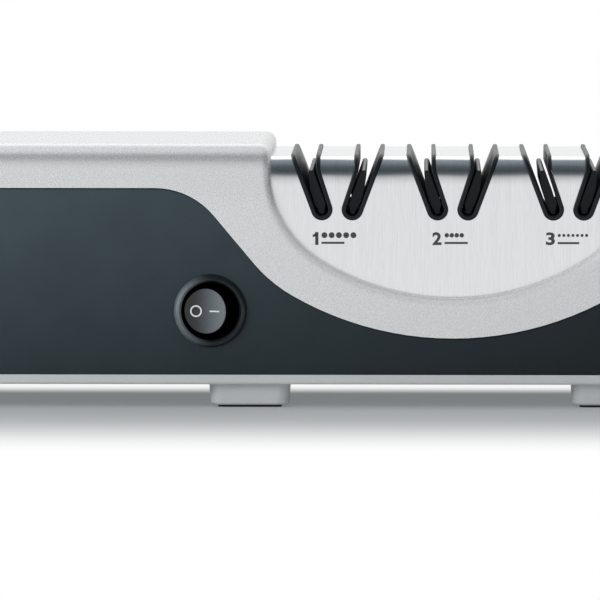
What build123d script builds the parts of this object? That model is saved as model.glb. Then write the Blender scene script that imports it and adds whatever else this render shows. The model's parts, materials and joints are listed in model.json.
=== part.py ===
from build123d import *
from math import atan2, cos, radians, sin, tan
import os

# Electric knife sharpener with three stages: coarse, fine and polish. Millimetres.
# +X runs from the motor end to the polishing end, -Y is the front and +Z is up.
# The origin lies on the table, under the middle of the body.

# ---- body ---------------------------------------------------------------------------------------
body_length = 300.0
body_depth = 104.0
end_radius = 20.0            # plan corners of the body
cover_top = 92.8             # top of the silver cover
cover_edge_radius = 9.0      # roll from the cover's top to its sides
cover_wall = 2.5
cover_skirt_bottom = 20.0    # the cover's block starts here, below its lowest edge
foot_bottom = 0.9
tray_bottom = 8.4
tray_height = 3.4
tray_edge = 1.0
panel_wall = 3.0
panel_setback = 0.8          # the dark panel lies this far behind the silver cover's face
seam = 0.4                   # shadow gap between cover and panel
lap_height = 3.0             # tongue of the panel behind the cover's wall
lap_clearance = 0.15
rim_clearance = 0.2          # locating rim of the tray inside the panel
rim_height = 3.0
rim_wall = 1.6
tray_top = tray_bottom + tray_height

# ---- border between cover and panel: an arch with a shoulder on each side -----------------------
arch_low = 24.7
arch_radius = 113.0
arch_turn = 30.0             # degrees, where the wide arc ends
knee_radius = 50.0
flank_slope = 50.0           # degrees, the straight flank
shoulder_radius = 27.0
shoulder_height = 77.5
cut_reach = 60.0             # cutting shapes pass the body by this much
touch = 0.001                # what counts as lying on a surface

# ---- dish with the steel cover ------------------------------------------------------------------
dish_half_width = 64.0
dish_drop = 45.3             # from the end of the cover's roll to the dish's lowest point
dish_flank_radius = 38.0
dish_lip_radius = 3.6
collar_wall = 2.5
steel_recess = 8.0           # steel front behind the silver front
steel_drop = 4.9             # steel top below the silver top
steel_edge_radius = 10.0
steel_sheet = 1.0
steel_tuck = 1.8             # sheet behind the collar
steel_front = body_depth / 2 - steel_recess
steel_top = cover_top - steel_drop

# ---- stages and knife slots ---------------------------------------------------------------------
dish_end_gap = 24.0          # from the dish's upright side to the body's right end
middle_stage_x = body_length / 2 - dish_end_gap - dish_half_width
stage_pitch = 40.7
stage_names = ("coarse", "fine", "polish")
stage_places = [middle_stage_x + stage_pitch * step for step in (-1, 0, 1)]
sides = {"left": -1, "right": 1}
slot_offset = 5.36           # slot bottom beside the middle of its stage
slot_bottom_height = 69.5    # centre of the round bottom
slot_radius = 3.7            # round bottom of the liner's outside
outer_slant = 20.6           # degrees from vertical, the guide wall
inner_slant = 18.2
bend_height = 83.3           # the inner wall stands upright above this
liner_wall = 1.5
liner_proud = 0.8
liner_clearance = 0.1
liner_edge = 0.45
window_half_length = 19.0    # opening in the liner that lets the disc reach the blade
window_clearance = 0.9

# ---- guide springs ------------------------------------------------------------------------------
leaf_foot_radius = 0.9
leaf_foot_offset = 5.5       # beside the middle of the stage
leaf_foot_height = 68.7
leaf_low_height = 71.5       # the leaf thickens up to here
leaf_belly_height = 76.6     # nearest to the guide wall
leaf_knee_height = 79.0
leaf_head_height = 83.2
leaf_low_gap = 0.55          # gaps to the liner's walls
leaf_belly_gap = 0.8
leaf_foot_gap = 0.5
leaf_knee_gap = 0.75
leaf_head_gap = 0.87
leaf_head_width = 1.7
leaf_end_setback = 4.0       # leaf ends behind the liner's ends
leaf_arch_half_length = 21.0
leaf_arch_top = 76.0
leaf_head_round = 0.8

# ---- spindle and discs --------------------------------------------------------------------------
spindle_height = 44.5
shaft_radius = 3.0
shaft_chamfer = 0.6
running_clearance = 0.05
disc_radius = 27.0
disc_plate = 2.4
disc_inner_offset = 2.0      # plate's inner face beside the middle of the stage
disc_hub_radius = 7.5
disc_hub_length = 5.6
disc_pocket_radius = 6.2
disc_pocket_depth = 3.2
disc_rim_bevel = 0.5
disc_travel = 1.0
pin_radius = 1.0
pin_length = 13.0
pin_clearance = 0.15
pin_engagement = 2.4         # depth of the hub's cross slot
spring_wire = 0.5            # radius
spring_radius = 4.6
spring_turns = 4
spring_gap = 0.1

# ---- motor --------------------------------------------------------------------------------------
motor_end_gap = 56.0         # from the body's left end to the middle of the motor
motor_x = -body_length / 2 + motor_end_gap
stack_length = 36.0
stack_width = 60.0
stack_tall = 56.0
stack_corner = 5.0
stator_bore_radius = 16.0
air_gap = 0.5
slot_count = 8
winding_slot_radius = 2.6
winding_slot_circle = 20.5
winding_head_length = 10.0
winding_inner_radius = 17.6
winding_outer_radius = 24.0
winding_round = 2.5
bracket_gap = 4.0
bracket_plate = 3.0
bush_radius = 6.0
bush_length = 8.0
bush_flange = 1.2
bracket_boss_radius = 9.0
bolt_radius = 2.0
bolt_head_radius = 3.6
bolt_head_height = 2.8
bolt_inset = 6.0
rotor_overhang = 2.0
rotor_chamfer = 0.5
rotor_collar_radius = 5.0
fan_radius = 26.0
fan_gap = 3.0
fan_width = 8.5
fan_hub_radius = 7.0
fan_back = 1.6
fan_blades = 9
fan_blade = 1.3
mount_radius = 6.0
mount_height = 3.7
mount_boss_height = 2.0
mount_reach = 7.0            # screw beyond the motor bracket's side
tab_thickness = 3.0
tab_length = 13.0            # from the bracket's plate towards the stack
tab_reach = 20.0             # from the bracket's side to beyond the screw
screw_radius = 1.75
screw_head_radius = 3.4
screw_head_height = 2.2
screw_head_round = 0.6
screw_recess_length = 4.4
screw_recess_width = 0.7
screw_recess_depth = 1.1
screw_bite = 4.0
bracket_screw_bite = 3.0
bracket_screw_edge = 2.0     # head to the end of the foot
screw_clearance = 0.2

# ---- coupling and spindle brackets --------------------------------------------------------------
coupling_length = 14.0
coupling_radius = 8.0
coupling_chamfer = 0.8
set_screw_radius = 1.5
set_screw_sunk = 0.3
shaft_gap = 1.0
left_bracket_offset = 68.0   # beside the middle stage
right_bracket_offset = 60.0
left_bracket_x = middle_stage_x - left_bracket_offset
right_bracket_x = middle_stage_x + right_bracket_offset
spindle_plate = 4.0
spindle_bush_length = 10.0
spindle_bracket_half_width = 20.0
spindle_foot_length = 12.0
shaft_overhang = 3.0
clip_radius = 5.2
clip_thickness = 0.8
end_play = 0.3

# ---- feet ---------------------------------------------------------------------------------------
foot_end_gap = 32.0          # from the body's end to the middle of its foot
foot_middle_x = -9.4
foot_end_x = body_length / 2 - foot_end_gap
foot_places = {"left": -foot_end_x, "middle": foot_middle_x, "right": foot_end_x}
foot_width = 28.6
foot_depth = 16.0
foot_corner = 5.0
foot_taper = 3.0
foot_edge = 1.0
foot_inset = 3.0             # foot behind the tray's edge
pad_margin = 3.0
pad_recess = 1.5
pad_clearance = 0.1

# ---- housing screws -----------------------------------------------------------------------------
post_inset_x = 10.0          # post centre from the end of the body
post_inset_y = 18.0
post_radius = 4.0
post_pilot_radius = 1.4
post_screw_length = 14.0
post_screw_gap = 1.0

# ---- switch -------------------------------------------------------------------------------------
switch_offset = 85.1         # beside the middle stage
switch_x = middle_stage_x - switch_offset
switch_height = 34.3
bezel_radius = 12.85
bezel_proud = 2.3
bezel_crest_radius = 10.9
well_radius = 10.1
well_chamfer = 0.5
well_lip = 0.4               # the well's chamfer starts this far behind the crest
bezel_bulge = 0.5
well_depth = 12.0
switch_wall = 1.2
switch_floor = 2.0
panel_hole_clearance = 0.2
rocker_width = 15.2
rocker_height = 16.0
rocker_face = 8.7            # face in front of the pivot
rocker_skirt = 7.2
rocker_dish_radius = 26.0
rocker_dish_depth = 1.1
rocker_edge = 0.4
rocker_tilt = 12.0           # degrees, resting with the left side pressed in
rocker_proud = 1.0           # upright face in front of the bezel
pivot_radius = 1.3
pivot_boss_radius = 2.4
pivot_boss_length = 14.0
pivot_end_gap = 0.1
terminal_width = 4.8
terminal_thickness = 0.8
terminal_length = 7.9
terminal_cover = 0.6         # floor left in front of the terminals
terminal_pitch = 7.0

# ---- cord gland ---------------------------------------------------------------------------------
gland_end_gap = 38.0         # from the body's left end
gland_x = -body_length / 2 + gland_end_gap
gland_height = 30.0
gland_flange_radius = 9.0
gland_flange = 1.8           # sunk part of the flange
gland_flange_proud = 0.7     # rest of the flange, outside the body
gland_collar_radius = 6.0
gland_proud = 3.2            # collar's end behind the body
gland_round = 0.4
gland_neck_radius = 7.0
gland_lip_radius = 8.0
gland_lip_gap = 0.1
gland_end_radius = 6.0
gland_bore_radius = 3.25
gland_inside = 8.0

# ---- vents and leads ----------------------------------------------------------------------------
vent_width = 3.0
vent_length = 26.0
vent_pitch = 7.0
vent_count = 6
vent_offset = 36.0           # beside the middle of the motor
lead_radius = 0.9
lead_bend = 2.4
lead_rise = 5.5              # above and below the switch's middle

panel_front = body_depth / 2 - panel_setback
motor_half = stack_length / 2
bracket_offset = motor_half + winding_head_length + bracket_gap + bracket_plate / 2
disc_hub_end = disc_inner_offset + disc_plate + disc_hub_length
pin_offset = disc_hub_end - pin_engagement + pin_clearance + pin_radius
pivot_y = -(panel_front + bezel_proud) + rocker_face - rocker_proud
motor_end_x = motor_x + bracket_offset + bush_length / 2
coupling_x = (motor_end_x + left_bracket_x - spindle_bush_length / 2) / 2
spindle_axis = Axis((0, 0, spindle_height), (1, 0, 0))
pieces: dict[str, Part] = {}


def keep(name: str, piece: Part) -> None:
    """Label a finished piece and remember it for writing."""
    piece.label = name
    pieces[name] = piece


# ---- shared outlines ----------------------------------------------------------------------------
def plan_block(inset: float, bottom: float, top: float) -> Part:
    """A block with the body's plan, drawn in by inset, from bottom to top."""
    with BuildPart() as block:
        with BuildSketch(Plane.XY.offset(bottom)):
            RectangleRounded(body_length - 2 * inset, body_depth - 2 * inset, end_radius - inset)
        extrude(amount=top - bottom)
    return block.part


def under_arch(lift: float) -> Part:
    """Everything below the border between cover and panel, moved up by lift."""
    turn, slope = radians(arch_turn), radians(flank_slope)
    wide = (-arch_radius * sin(turn), arch_low + arch_radius * (1 - cos(turn)))
    knee_centre = (wide[0] + knee_radius * sin(turn), wide[1] + knee_radius * cos(turn))
    knee = (knee_centre[0] - knee_radius * sin(slope), knee_centre[1] - knee_radius * cos(slope))
    flank_top = shoulder_height - shoulder_radius * (1 - cos(slope))
    flank = (knee[0] - (flank_top - knee[1]) / tan(slope), flank_top)
    shoulder = (flank[0] - shoulder_radius * sin(slope), shoulder_height)
    far = body_length / 2 + cut_reach
    with BuildPart() as region:
        with BuildSketch(Plane.XZ.offset(-body_depth)):
            with BuildLine():
                ends = []
                for side in (1, -1):
                    def at(point):
                        return (middle_stage_x + side * point[0], point[1] + lift)
                    TangentArc(at(shoulder), at(flank), tangent=(side, 0))
                    Line(at(flank), at(knee))
                    TangentArc(at(knee), at(wide), tangent=(side * cos(slope), -sin(slope)))
                    Line(at(shoulder), (-side * far, shoulder_height + lift))
                    ends.append(at(wide))
                ThreePointArc(ends[0], (middle_stage_x, arch_low + lift), ends[1])
                Polyline((-far, shoulder_height + lift), (-far, 0), (far, 0), (far, shoulder_height + lift))
            make_face()
        extrude(amount=2 * body_depth)
    return region.part


def dish_prism(grow: float) -> Part:
    """The dish as a bar along Y: a wide round bottom, round flanks, upright sides, wider by grow."""
    centre_height = cover_top - cover_edge_radius
    half_width, drop, flank = dish_half_width + grow, dish_drop + grow, dish_flank_radius + grow
    bottom = (half_width**2 + drop**2 - 2 * half_width * flank) / (2 * (drop - flank))
    lean = atan2(half_width - flank, bottom - drop)
    meet_offset = half_width - flank + flank * sin(lean)
    meet_height = centre_height - flank * cos(lean)
    high = cover_top + cut_reach

    def at(offset, height):
        return (middle_stage_x + offset, height)

    with BuildPart() as bar:
        with BuildSketch(Plane.XZ.offset(-body_depth)):
            with BuildLine():
                TangentArc(at(half_width, centre_height), at(meet_offset, meet_height), tangent=(0, -1))
                ThreePointArc(
                    at(meet_offset, meet_height), at(0, centre_height - drop), at(-meet_offset, meet_height)
                )
                TangentArc(at(-half_width, centre_height), at(-meet_offset, meet_height), tangent=(0, -1))
                Polyline(
                    at(half_width, centre_height),
                    at(half_width, high),
                    at(-half_width, high),
                    at(-half_width, centre_height),
                )
            make_face()
        extrude(amount=2 * body_depth)
    return bar.part


def saddle_block(grow: float) -> Part:
    """The steel cover's outside as a bar along X, larger by grow."""
    with BuildPart() as bar:
        with BuildSketch(Plane.YZ.offset(-body_length)) as section:
            with Locations((0, steel_top + grow)):
                Rectangle(2 * (steel_front + grow), steel_top + grow, align=(Align.CENTER, Align.MAX))
            upper = section.vertices().group_by(Axis.Z)[-1]
            fillet(upper, steel_edge_radius + grow)
        extrude(amount=2 * body_length)
    return bar.part


def slot_prism(stage: float, side: int, inset: float) -> Part:
    """A knife slot as a bar along Y: round at the bottom, open at the top, drawn in by inset."""
    radius = slot_radius - inset
    outer, inner = radians(outer_slant), radians(inner_slant)
    top = cover_top + cut_reach
    low_outer = (slot_offset + radius * cos(outer), slot_bottom_height - radius * sin(outer))
    low_inner = (slot_offset - radius * cos(inner), slot_bottom_height + radius * sin(inner))
    widest_inner = slot_offset - slot_radius * cos(inner)
    widest_height = slot_bottom_height + slot_radius * sin(inner)
    upright = widest_inner + (bend_height - widest_height) * tan(inner) + inset
    bend = low_inner[1] + (upright - low_inner[0]) / tan(inner)
    high_outer = low_outer[0] + (top - low_outer[1]) * tan(outer)

    def at(offset, height):
        return (stage + side * offset, height)

    with BuildPart() as bar:
        with BuildSketch(Plane.XZ.offset(-body_depth)):
            with BuildLine():
                ThreePointArc(at(*low_inner), at(slot_offset, slot_bottom_height - radius), at(*low_outer))
                Polyline(
                    at(*low_outer), at(high_outer, top), at(upright, top), at(upright, bend), at(*low_inner)
                )
            make_face()
        extrude(amount=2 * body_depth)
    return bar.part


def rod(start: float, end: float, radius: float, y: float = 0.0, height: float = spindle_height) -> Part:
    """A plain round bar along X."""
    with BuildPart() as bar:
        with BuildSketch(Plane.YZ.offset(start)):
            with Locations((y, height)):
                Circle(radius)
        extrude(amount=end - start)
    return bar.part


def upright_rod(x: float, y: float, bottom: float, top: float, radius: float) -> Part:
    """A plain round bar along Z."""
    with BuildPart() as bar:
        with BuildSketch(Plane.XY.offset(bottom)):
            with Locations((x, y)):
                Circle(radius)
        extrude(amount=top - bottom)
    return bar.part


def lies_on(skin: Part, edge: Edge) -> bool:
    """Whether an edge's middle lies on the surface of a solid."""
    return skin.shell().distance_to(edge.position_at(0.5)) < touch


def corner_places(half_x: float, half_y: float, centre_x: float = 0.0) -> list[tuple[float, float]]:
    """Four places around a centre on the X axis."""
    return [(centre_x + sx * half_x, sy * half_y) for sx in (-1, 1) for sy in (-1, 1)]


post_places = corner_places(body_length / 2 - post_inset_x, body_depth / 2 - post_inset_y)
mount_half_y = stack_width / 2 + mount_reach
mount_half_x = bracket_offset - bracket_plate / 2 - tab_length / 2
mount_places = corner_places(mount_half_x, mount_half_y, motor_x)
mount_bottom = tray_top + mount_boss_height
tab_bottom = mount_bottom + mount_height
tab_top = tab_bottom + tab_thickness
screw_seat = tray_bottom + screw_head_height
bracket_screw_y = spindle_bracket_half_width - screw_head_radius - bracket_screw_edge
bracket_screw_x = {
    "left": left_bracket_x + spindle_plate / 2 + spindle_foot_length / 2,
    "right": right_bracket_x + spindle_plate / 2 + spindle_foot_length / 2,
}
spindle_foot_top = tray_top + spindle_plate


# ---- silver top cover ---------------------------------------------------------------------------
with BuildPart() as cover_block:
    add(plan_block(0, cover_skirt_bottom, cover_top))
    fillet(cover_block.faces().sort_by(Axis.Z)[-1].edges(), cover_edge_radius)
    outside = cover_block.part
    dish = dish_prism(0)
    add(dish, mode=Mode.SUBTRACT)
    lip = [edge for edge in cover_block.edges() if lies_on(outside, edge) and lies_on(dish, edge)]
    fillet(lip, dish_lip_radius)

with BuildPart() as collar_ring:
    add(dish_prism(collar_wall))
    add(saddle_block(0), mode=Mode.SUBTRACT)

with BuildPart() as cover_cavity:
    add(plan_block(cover_wall, cover_skirt_bottom - cover_wall, cover_top - cover_wall))
    fillet(cover_cavity.faces().sort_by(Axis.Z)[-1].edges(), cover_edge_radius - cover_wall)
    add(collar_ring.part, mode=Mode.SUBTRACT)

with BuildPart() as top_cover:
    add(cover_block.part)
    add(cover_cavity.part, mode=Mode.SUBTRACT)
    add(under_arch(0), mode=Mode.SUBTRACT)
    for x, y in post_places:
        add(upright_rod(x, y, tray_top, cover_top - cover_wall, post_radius))
        add(upright_rod(x, y, tray_top, tray_top + post_screw_length, post_pilot_radius), mode=Mode.SUBTRACT)
keep("top_cover", top_cover.part)


# ---- dark panel housing -------------------------------------------------------------------------
lap_inset = cover_wall + lap_clearance
panel_inside = panel_setback + panel_wall
with BuildPart() as panel_ring:
    add(plan_block(panel_setback, tray_top, cover_top))
    add(under_arch(-seam), mode=Mode.INTERSECT)
    add(plan_block(panel_inside, 0, cover_top), mode=Mode.SUBTRACT)

with BuildPart() as lap_tongue:
    add(plan_block(lap_inset, arch_low - lap_height, cover_top))
    add(under_arch(lap_height), mode=Mode.INTERSECT)
    add(plan_block(panel_inside, 0, cover_top), mode=Mode.SUBTRACT)

with BuildPart() as body_shell:
    add(panel_ring.part)
    add(lap_tongue.part)
    with Locations(Plane((switch_x, -panel_front, switch_height), x_dir=(1, 0, 0), z_dir=(0, -1, 0))):
        Hole(well_radius + switch_wall + panel_hole_clearance, depth=panel_wall)
    with Locations(Plane((gland_x, panel_front, gland_height), x_dir=(1, 0, 0), z_dir=(0, 1, 0))):
        CounterBoreHole(
            gland_neck_radius + panel_hole_clearance,
            gland_flange_radius + panel_hole_clearance,
            gland_flange - panel_setback,
            depth=panel_wall,
        )
keep("body_shell", body_shell.part)


# ---- base tray, feet and pads -------------------------------------------------------------------
screw_sink_radius = screw_head_radius + screw_clearance
with BuildPart() as base_plate:
    add(plan_block(0, tray_bottom, tray_top))
    fillet(base_plate.faces().sort_by(Axis.Z)[0].edges(), tray_edge)
    rim_outside = panel_inside + rim_clearance
    rim_top = tray_top + rim_height
    add(plan_block(rim_outside, tray_top, rim_top))
    add(plan_block(rim_outside + rim_wall, tray_top, rim_top), mode=Mode.SUBTRACT)
    for x, y in post_places:
        add(upright_rod(x, y, tray_top, rim_top, post_radius + rim_clearance), mode=Mode.SUBTRACT)
        add(upright_rod(x, y, tray_bottom, tray_top, screw_radius + screw_clearance), mode=Mode.SUBTRACT)
        add(upright_rod(x, y, tray_bottom, screw_seat, screw_sink_radius), mode=Mode.SUBTRACT)
    for x, y in mount_places:
        add(upright_rod(x, y, tray_top, rim_top, mount_radius + rim_clearance), mode=Mode.SUBTRACT)
        add(upright_rod(x, y, tray_top, mount_bottom, mount_radius))
        add(upright_rod(x, y, mount_bottom - screw_bite, mount_bottom, screw_radius), mode=Mode.SUBTRACT)
    for x in bracket_screw_x.values():
        for y in (-bracket_screw_y, bracket_screw_y):
            add(upright_rod(x, y, tray_top - bracket_screw_bite, tray_top, screw_radius), mode=Mode.SUBTRACT)
    with BuildSketch(Plane.XY.offset(tray_bottom)):
        with Locations((motor_x + vent_offset, 0)):
            with GridLocations(vent_pitch, 0, vent_count, 1):
                SlotOverall(vent_length, vent_width, rotation=90)
    extrude(amount=tray_height, mode=Mode.SUBTRACT)
keep("base_plate", base_plate.part)

for place, x in foot_places.items():
    for end, sign in {"front": -1, "rear": 1}.items():
        y = sign * (body_depth / 2 - foot_inset - foot_depth / 2)
        with BuildPart() as foot:
            with BuildSketch(Plane.XY.offset(tray_bottom)):
                with Locations((x, y)):
                    RectangleRounded(foot_width, foot_depth, foot_corner)
            extrude(amount=foot_bottom - tray_bottom, taper=foot_taper)
            fillet(foot.faces().sort_by(Axis.Z)[0].edges(), foot_edge)
            with BuildSketch(Plane.XY.offset(foot_bottom)):
                with Locations((x, y)):
                    RectangleRounded(
                        foot_width - 2 * pad_margin, foot_depth - 2 * pad_margin, foot_corner - pad_margin
                    )
            extrude(amount=pad_recess, mode=Mode.SUBTRACT)
        keep(f"foot_{end}_{place}", foot.part)

with BuildPart() as foot_pads:
    inset = pad_margin + pad_clearance
    with BuildSketch():
        for x in foot_places.values():
            for sign in (-1, 1):
                with Locations((x, sign * (body_depth / 2 - foot_inset - foot_depth / 2))):
                    RectangleRounded(foot_width - 2 * inset, foot_depth - 2 * inset, foot_corner - inset)
    extrude(amount=foot_bottom + pad_recess)
keep("foot_pads", foot_pads.part)


# ---- steel cover --------------------------------------------------------------------------------
with BuildPart() as steel_cover:
    add(saddle_block(0))
    add(saddle_block(-steel_sheet), mode=Mode.SUBTRACT)
    add(dish_prism(steel_tuck), mode=Mode.INTERSECT)
    for stage in stage_places:
        for side in sides.values():
            add(slot_prism(stage, side, -liner_clearance), mode=Mode.SUBTRACT)
keep("steel_cover", steel_cover.part)


# ---- slot liners, guide springs -----------------------------------------------------------------
def leaf_outline(stage: float, side: int) -> list[tuple[float, float]]:
    """Corners of a guide spring's leaf, from its foot on the guide side over the head and back."""
    def wall(way: int, slant: float, height: float) -> float:
        """Offset of a liner wall's inner face at a height."""
        bottom = slot_offset + way * (slot_radius - liner_wall) / cos(radians(slant))
        return bottom + (height - slot_bottom_height) * tan(radians(slant))

    head_inside = wall(-1, inner_slant, bend_height) + leaf_head_gap
    corners = [
        (leaf_foot_offset + leaf_foot_radius, leaf_foot_height),
        (wall(1, outer_slant, leaf_low_height) - leaf_low_gap, leaf_low_height),
        (wall(1, outer_slant, leaf_belly_height) - leaf_belly_gap, leaf_belly_height),
        (head_inside + leaf_head_width, leaf_head_height),
        (head_inside, leaf_head_height),
        (wall(-1, inner_slant, leaf_knee_height) + leaf_knee_gap, leaf_knee_height),
        (wall(-1, inner_slant, leaf_low_height) + leaf_foot_gap, leaf_low_height),
        (leaf_foot_offset - leaf_foot_radius, leaf_foot_height),
    ]
    return [(stage + side * offset, height) for offset, height in corners]


liner_half_length = steel_front + liner_proud
leaf_half_length = liner_half_length - leaf_end_setback
disc_top = spindle_height + disc_radius
for name, stage in zip(stage_names, stage_places):
    for side_name, side in sides.items():
        with BuildPart() as liner:
            add(slot_prism(stage, side, 0))
            add(slot_prism(stage, side, liner_wall), mode=Mode.SUBTRACT)
            add(saddle_block(liner_proud), mode=Mode.INTERSECT)
            skin = saddle_block(liner_proud)
            rim = [edge for edge in liner.edges() if lies_on(skin, edge) and edge.length > 2 * liner_wall]
            fillet(rim, liner_edge)
            window_low = disc_inner_offset - window_clearance
            window_high = disc_inner_offset + disc_plate + window_clearance / 2
            with Locations((stage + side * (window_low + window_high) / 2, 0, disc_top + window_clearance)):
                Box(
                    window_high - window_low,
                    2 * window_half_length,
                    disc_top + window_clearance - slot_bottom_height + 2 * slot_radius,
                    align=(Align.CENTER, Align.CENTER, Align.MAX),
                    mode=Mode.SUBTRACT,
                )
        keep(f"slot_liner_{name}_{side_name}", liner.part)

        with BuildPart() as leaf:
            with BuildSketch(Plane.XZ) as section:
                with BuildLine():
                    Polyline(*leaf_outline(stage, side), close=True)
                make_face()
                head = section.vertices().group_by(Axis.Z)[-1]
                fillet(head, leaf_head_round)
                with Locations((stage + side * leaf_foot_offset, leaf_foot_height)):
                    Circle(leaf_foot_radius)
            extrude(amount=leaf_half_length, both=True)
            with Locations((stage + side * leaf_foot_offset, 0, leaf_foot_height - leaf_foot_radius)):
                Box(
                    4 * slot_radius,
                    2 * leaf_arch_half_length,
                    leaf_arch_top - leaf_foot_height + leaf_foot_radius,
                    align=(Align.CENTER, Align.CENTER, Align.MIN),
                    mode=Mode.SUBTRACT,
                )
        keep(f"guide_spring_{name}_{side_name}", leaf.part)


# ---- spindle ------------------------------------------------------------------------------------
spindle_start = coupling_x + shaft_gap / 2
spindle_end = right_bracket_x + spindle_bush_length / 2 + shaft_overhang
pin_places = [stage + side * pin_offset for stage in stage_places for side in sides.values()]
with BuildPart() as spindle_shaft:
    add(rod(spindle_start, spindle_end, shaft_radius))
    for x in pin_places:
        with Locations((x, 0, spindle_height)):
            Cylinder(pin_radius, 2 * shaft_radius, mode=Mode.SUBTRACT)
    chamfer(spindle_shaft.faces().sort_by(Axis.X)[-1].edges(), shaft_chamfer)
keep("spindle_shaft", spindle_shaft.part)

with BuildPart() as drive_pins:
    with Locations([(x, 0, spindle_height) for x in pin_places]):
        Cylinder(pin_radius, pin_length)
keep("drive_pins", drive_pins.part)

with BuildPart() as shaft_clips:
    for x, inward in ((left_bracket_x, 1), (right_bracket_x, -1)):
        bush_end = x + inward * (spindle_bush_length / 2 + end_play)
        low, high = sorted((bush_end, bush_end + inward * clip_thickness))
        add(rod(low, high, clip_radius))
        add(rod(low, high, shaft_radius), mode=Mode.SUBTRACT)
keep("shaft_clips", shaft_clips.part)


# ---- discs and their springs --------------------------------------------------------------------
def disc_profile(stage: float, side: int) -> list[tuple[float, float]]:
    """Half section of a disc and its hub, from the spring's pocket round the rim and the hub to the bore."""
    plate_end = disc_inner_offset + disc_plate
    pocket_end = disc_inner_offset + disc_pocket_depth
    bore = shaft_radius + running_clearance
    section = [
        (disc_inner_offset, disc_pocket_radius),
        (disc_inner_offset, disc_radius - disc_rim_bevel),
        (disc_inner_offset + disc_rim_bevel, disc_radius),
        (plate_end, disc_radius),
        (plate_end, disc_hub_radius),
        (disc_hub_end, disc_hub_radius),
        (disc_hub_end, bore),
        (pocket_end, bore),
        (pocket_end, disc_pocket_radius),
    ]
    return [(stage + side * offset, spindle_height + radius) for offset, radius in section]


spring_length = 2 * (disc_inner_offset + disc_pocket_depth - spring_wire - spring_gap)
for name, stage in zip(stage_names, stage_places):
    for side_name, side in sides.items():
        with BuildPart() as disc:
            with BuildSketch(Plane.XZ):
                with BuildLine():
                    Polyline(*disc_profile(stage, side), close=True)
                make_face()
            revolve(axis=spindle_axis)
            with Locations((stage + side * (disc_hub_end - pin_engagement / 2), 0, spindle_height)):
                Box(pin_engagement, 2 * (pin_radius + pin_clearance), 2 * disc_hub_radius, mode=Mode.SUBTRACT)
        keep(f"{name}_disc_{side_name}", disc.part)

    with BuildPart() as disc_spring:
        with BuildLine() as coil:
            Helix(
                pitch=spring_length / spring_turns,
                height=spring_length,
                radius=spring_radius,
                center=(stage - spring_length / 2, 0, spindle_height),
                direction=(1, 0, 0),
            )
        with BuildSketch(Plane(coil.line @ 0, z_dir=coil.line % 0)):
            Circle(spring_wire)
        sweep(is_frenet=True)
    keep(f"disc_spring_{name}", disc_spring.part)


# ---- coupling -----------------------------------------------------------------------------------
coupling_left = coupling_x - coupling_length / 2
coupling_right = coupling_x + coupling_length / 2
set_screw_places = [coupling_x + sign * coupling_length / 4 for sign in (-1, 1)]
coupling_top = spindle_height + coupling_radius
with BuildPart() as shaft_coupling:
    add(rod(coupling_left, coupling_right, coupling_radius))
    chamfer(shaft_coupling.faces().filter_by(Axis.X).edges(), coupling_chamfer)
    add(rod(coupling_left, coupling_right, shaft_radius), mode=Mode.SUBTRACT)
    for x in set_screw_places:
        add(upright_rod(x, 0, spindle_height, coupling_top, set_screw_radius), mode=Mode.SUBTRACT)
keep("shaft_coupling", shaft_coupling.part)

with BuildPart() as set_screws:
    for x in set_screw_places:
        add(upright_rod(x, 0, spindle_height, coupling_top - set_screw_sunk, set_screw_radius))
    add(rod(coupling_left, coupling_right, shaft_radius), mode=Mode.SUBTRACT)
keep("set_screws", set_screws.part)


# ---- bearings and spindle brackets --------------------------------------------------------------
def bush(x: float, length: float) -> Part:
    """A flanged plain bearing, its flange towards the motor end."""
    start, end = x - length / 2, x + length / 2
    with BuildPart() as sleeve:
        add(rod(start, end, bush_radius))
        add(rod(start, start + bush_flange, bush_radius + bush_flange))
        add(rod(start, end, shaft_radius + running_clearance), mode=Mode.SUBTRACT)
    return sleeve.part


for side_name, x in (("left", left_bracket_x), ("right", right_bracket_x)):
    face, start, end = x - spindle_plate / 2, x - spindle_bush_length / 2, x + spindle_bush_length / 2
    cheek = bracket_boss_radius + spindle_plate
    with BuildPart() as bracket:
        with BuildSketch(Plane.YZ.offset(face)):
            with Locations((0, spindle_height)):
                Circle(cheek)
            with BuildLine():
                Polyline(
                    (-cheek, spindle_height),
                    (-spindle_bracket_half_width, spindle_foot_top),
                    (-spindle_bracket_half_width, tray_top),
                    (spindle_bracket_half_width, tray_top),
                    (spindle_bracket_half_width, spindle_foot_top),
                    (cheek, spindle_height),
                    close=True,
                )
            make_face()
        extrude(amount=spindle_plate)
        add(rod(start + bush_flange, end, bracket_boss_radius))
        with Locations((face, 0, tray_top)):
            Box(
                spindle_plate + spindle_foot_length,
                2 * spindle_bracket_half_width,
                spindle_plate,
                align=(Align.MIN, Align.CENTER, Align.MIN),
            )
        add(rod(start, end, bush_radius), mode=Mode.SUBTRACT)
        for y in (-bracket_screw_y, bracket_screw_y):
            hole = upright_rod(
                bracket_screw_x[side_name], y, tray_top, spindle_foot_top, screw_radius + screw_clearance
            )
            add(hole, mode=Mode.SUBTRACT)
    keep(f"spindle_bracket_{side_name}", bracket.part)

with BuildPart() as spindle_bearings:
    for x in (left_bracket_x, right_bracket_x):
        add(bush(x, spindle_bush_length))
keep("spindle_bearings", spindle_bearings.part)


# ---- motor --------------------------------------------------------------------------------------
bolt_places = [
    (sy * (stack_width / 2 - bolt_inset), spindle_height + sz * (stack_tall / 2 - bolt_inset))
    for sy in (-1, 1)
    for sz in (-1, 1)
]
first_slot_angle = 180 / slot_count
stack_start = motor_x - motor_half


def stack_block(start: float, length: float) -> Part:
    """A block along X with the motor stack's rounded section."""
    with BuildPart() as block:
        with BuildSketch(Plane.YZ.offset(start)):
            with Locations((0, spindle_height)):
                RectangleRounded(stack_width, stack_tall, stack_corner)
        extrude(amount=length)
    return block.part


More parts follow.
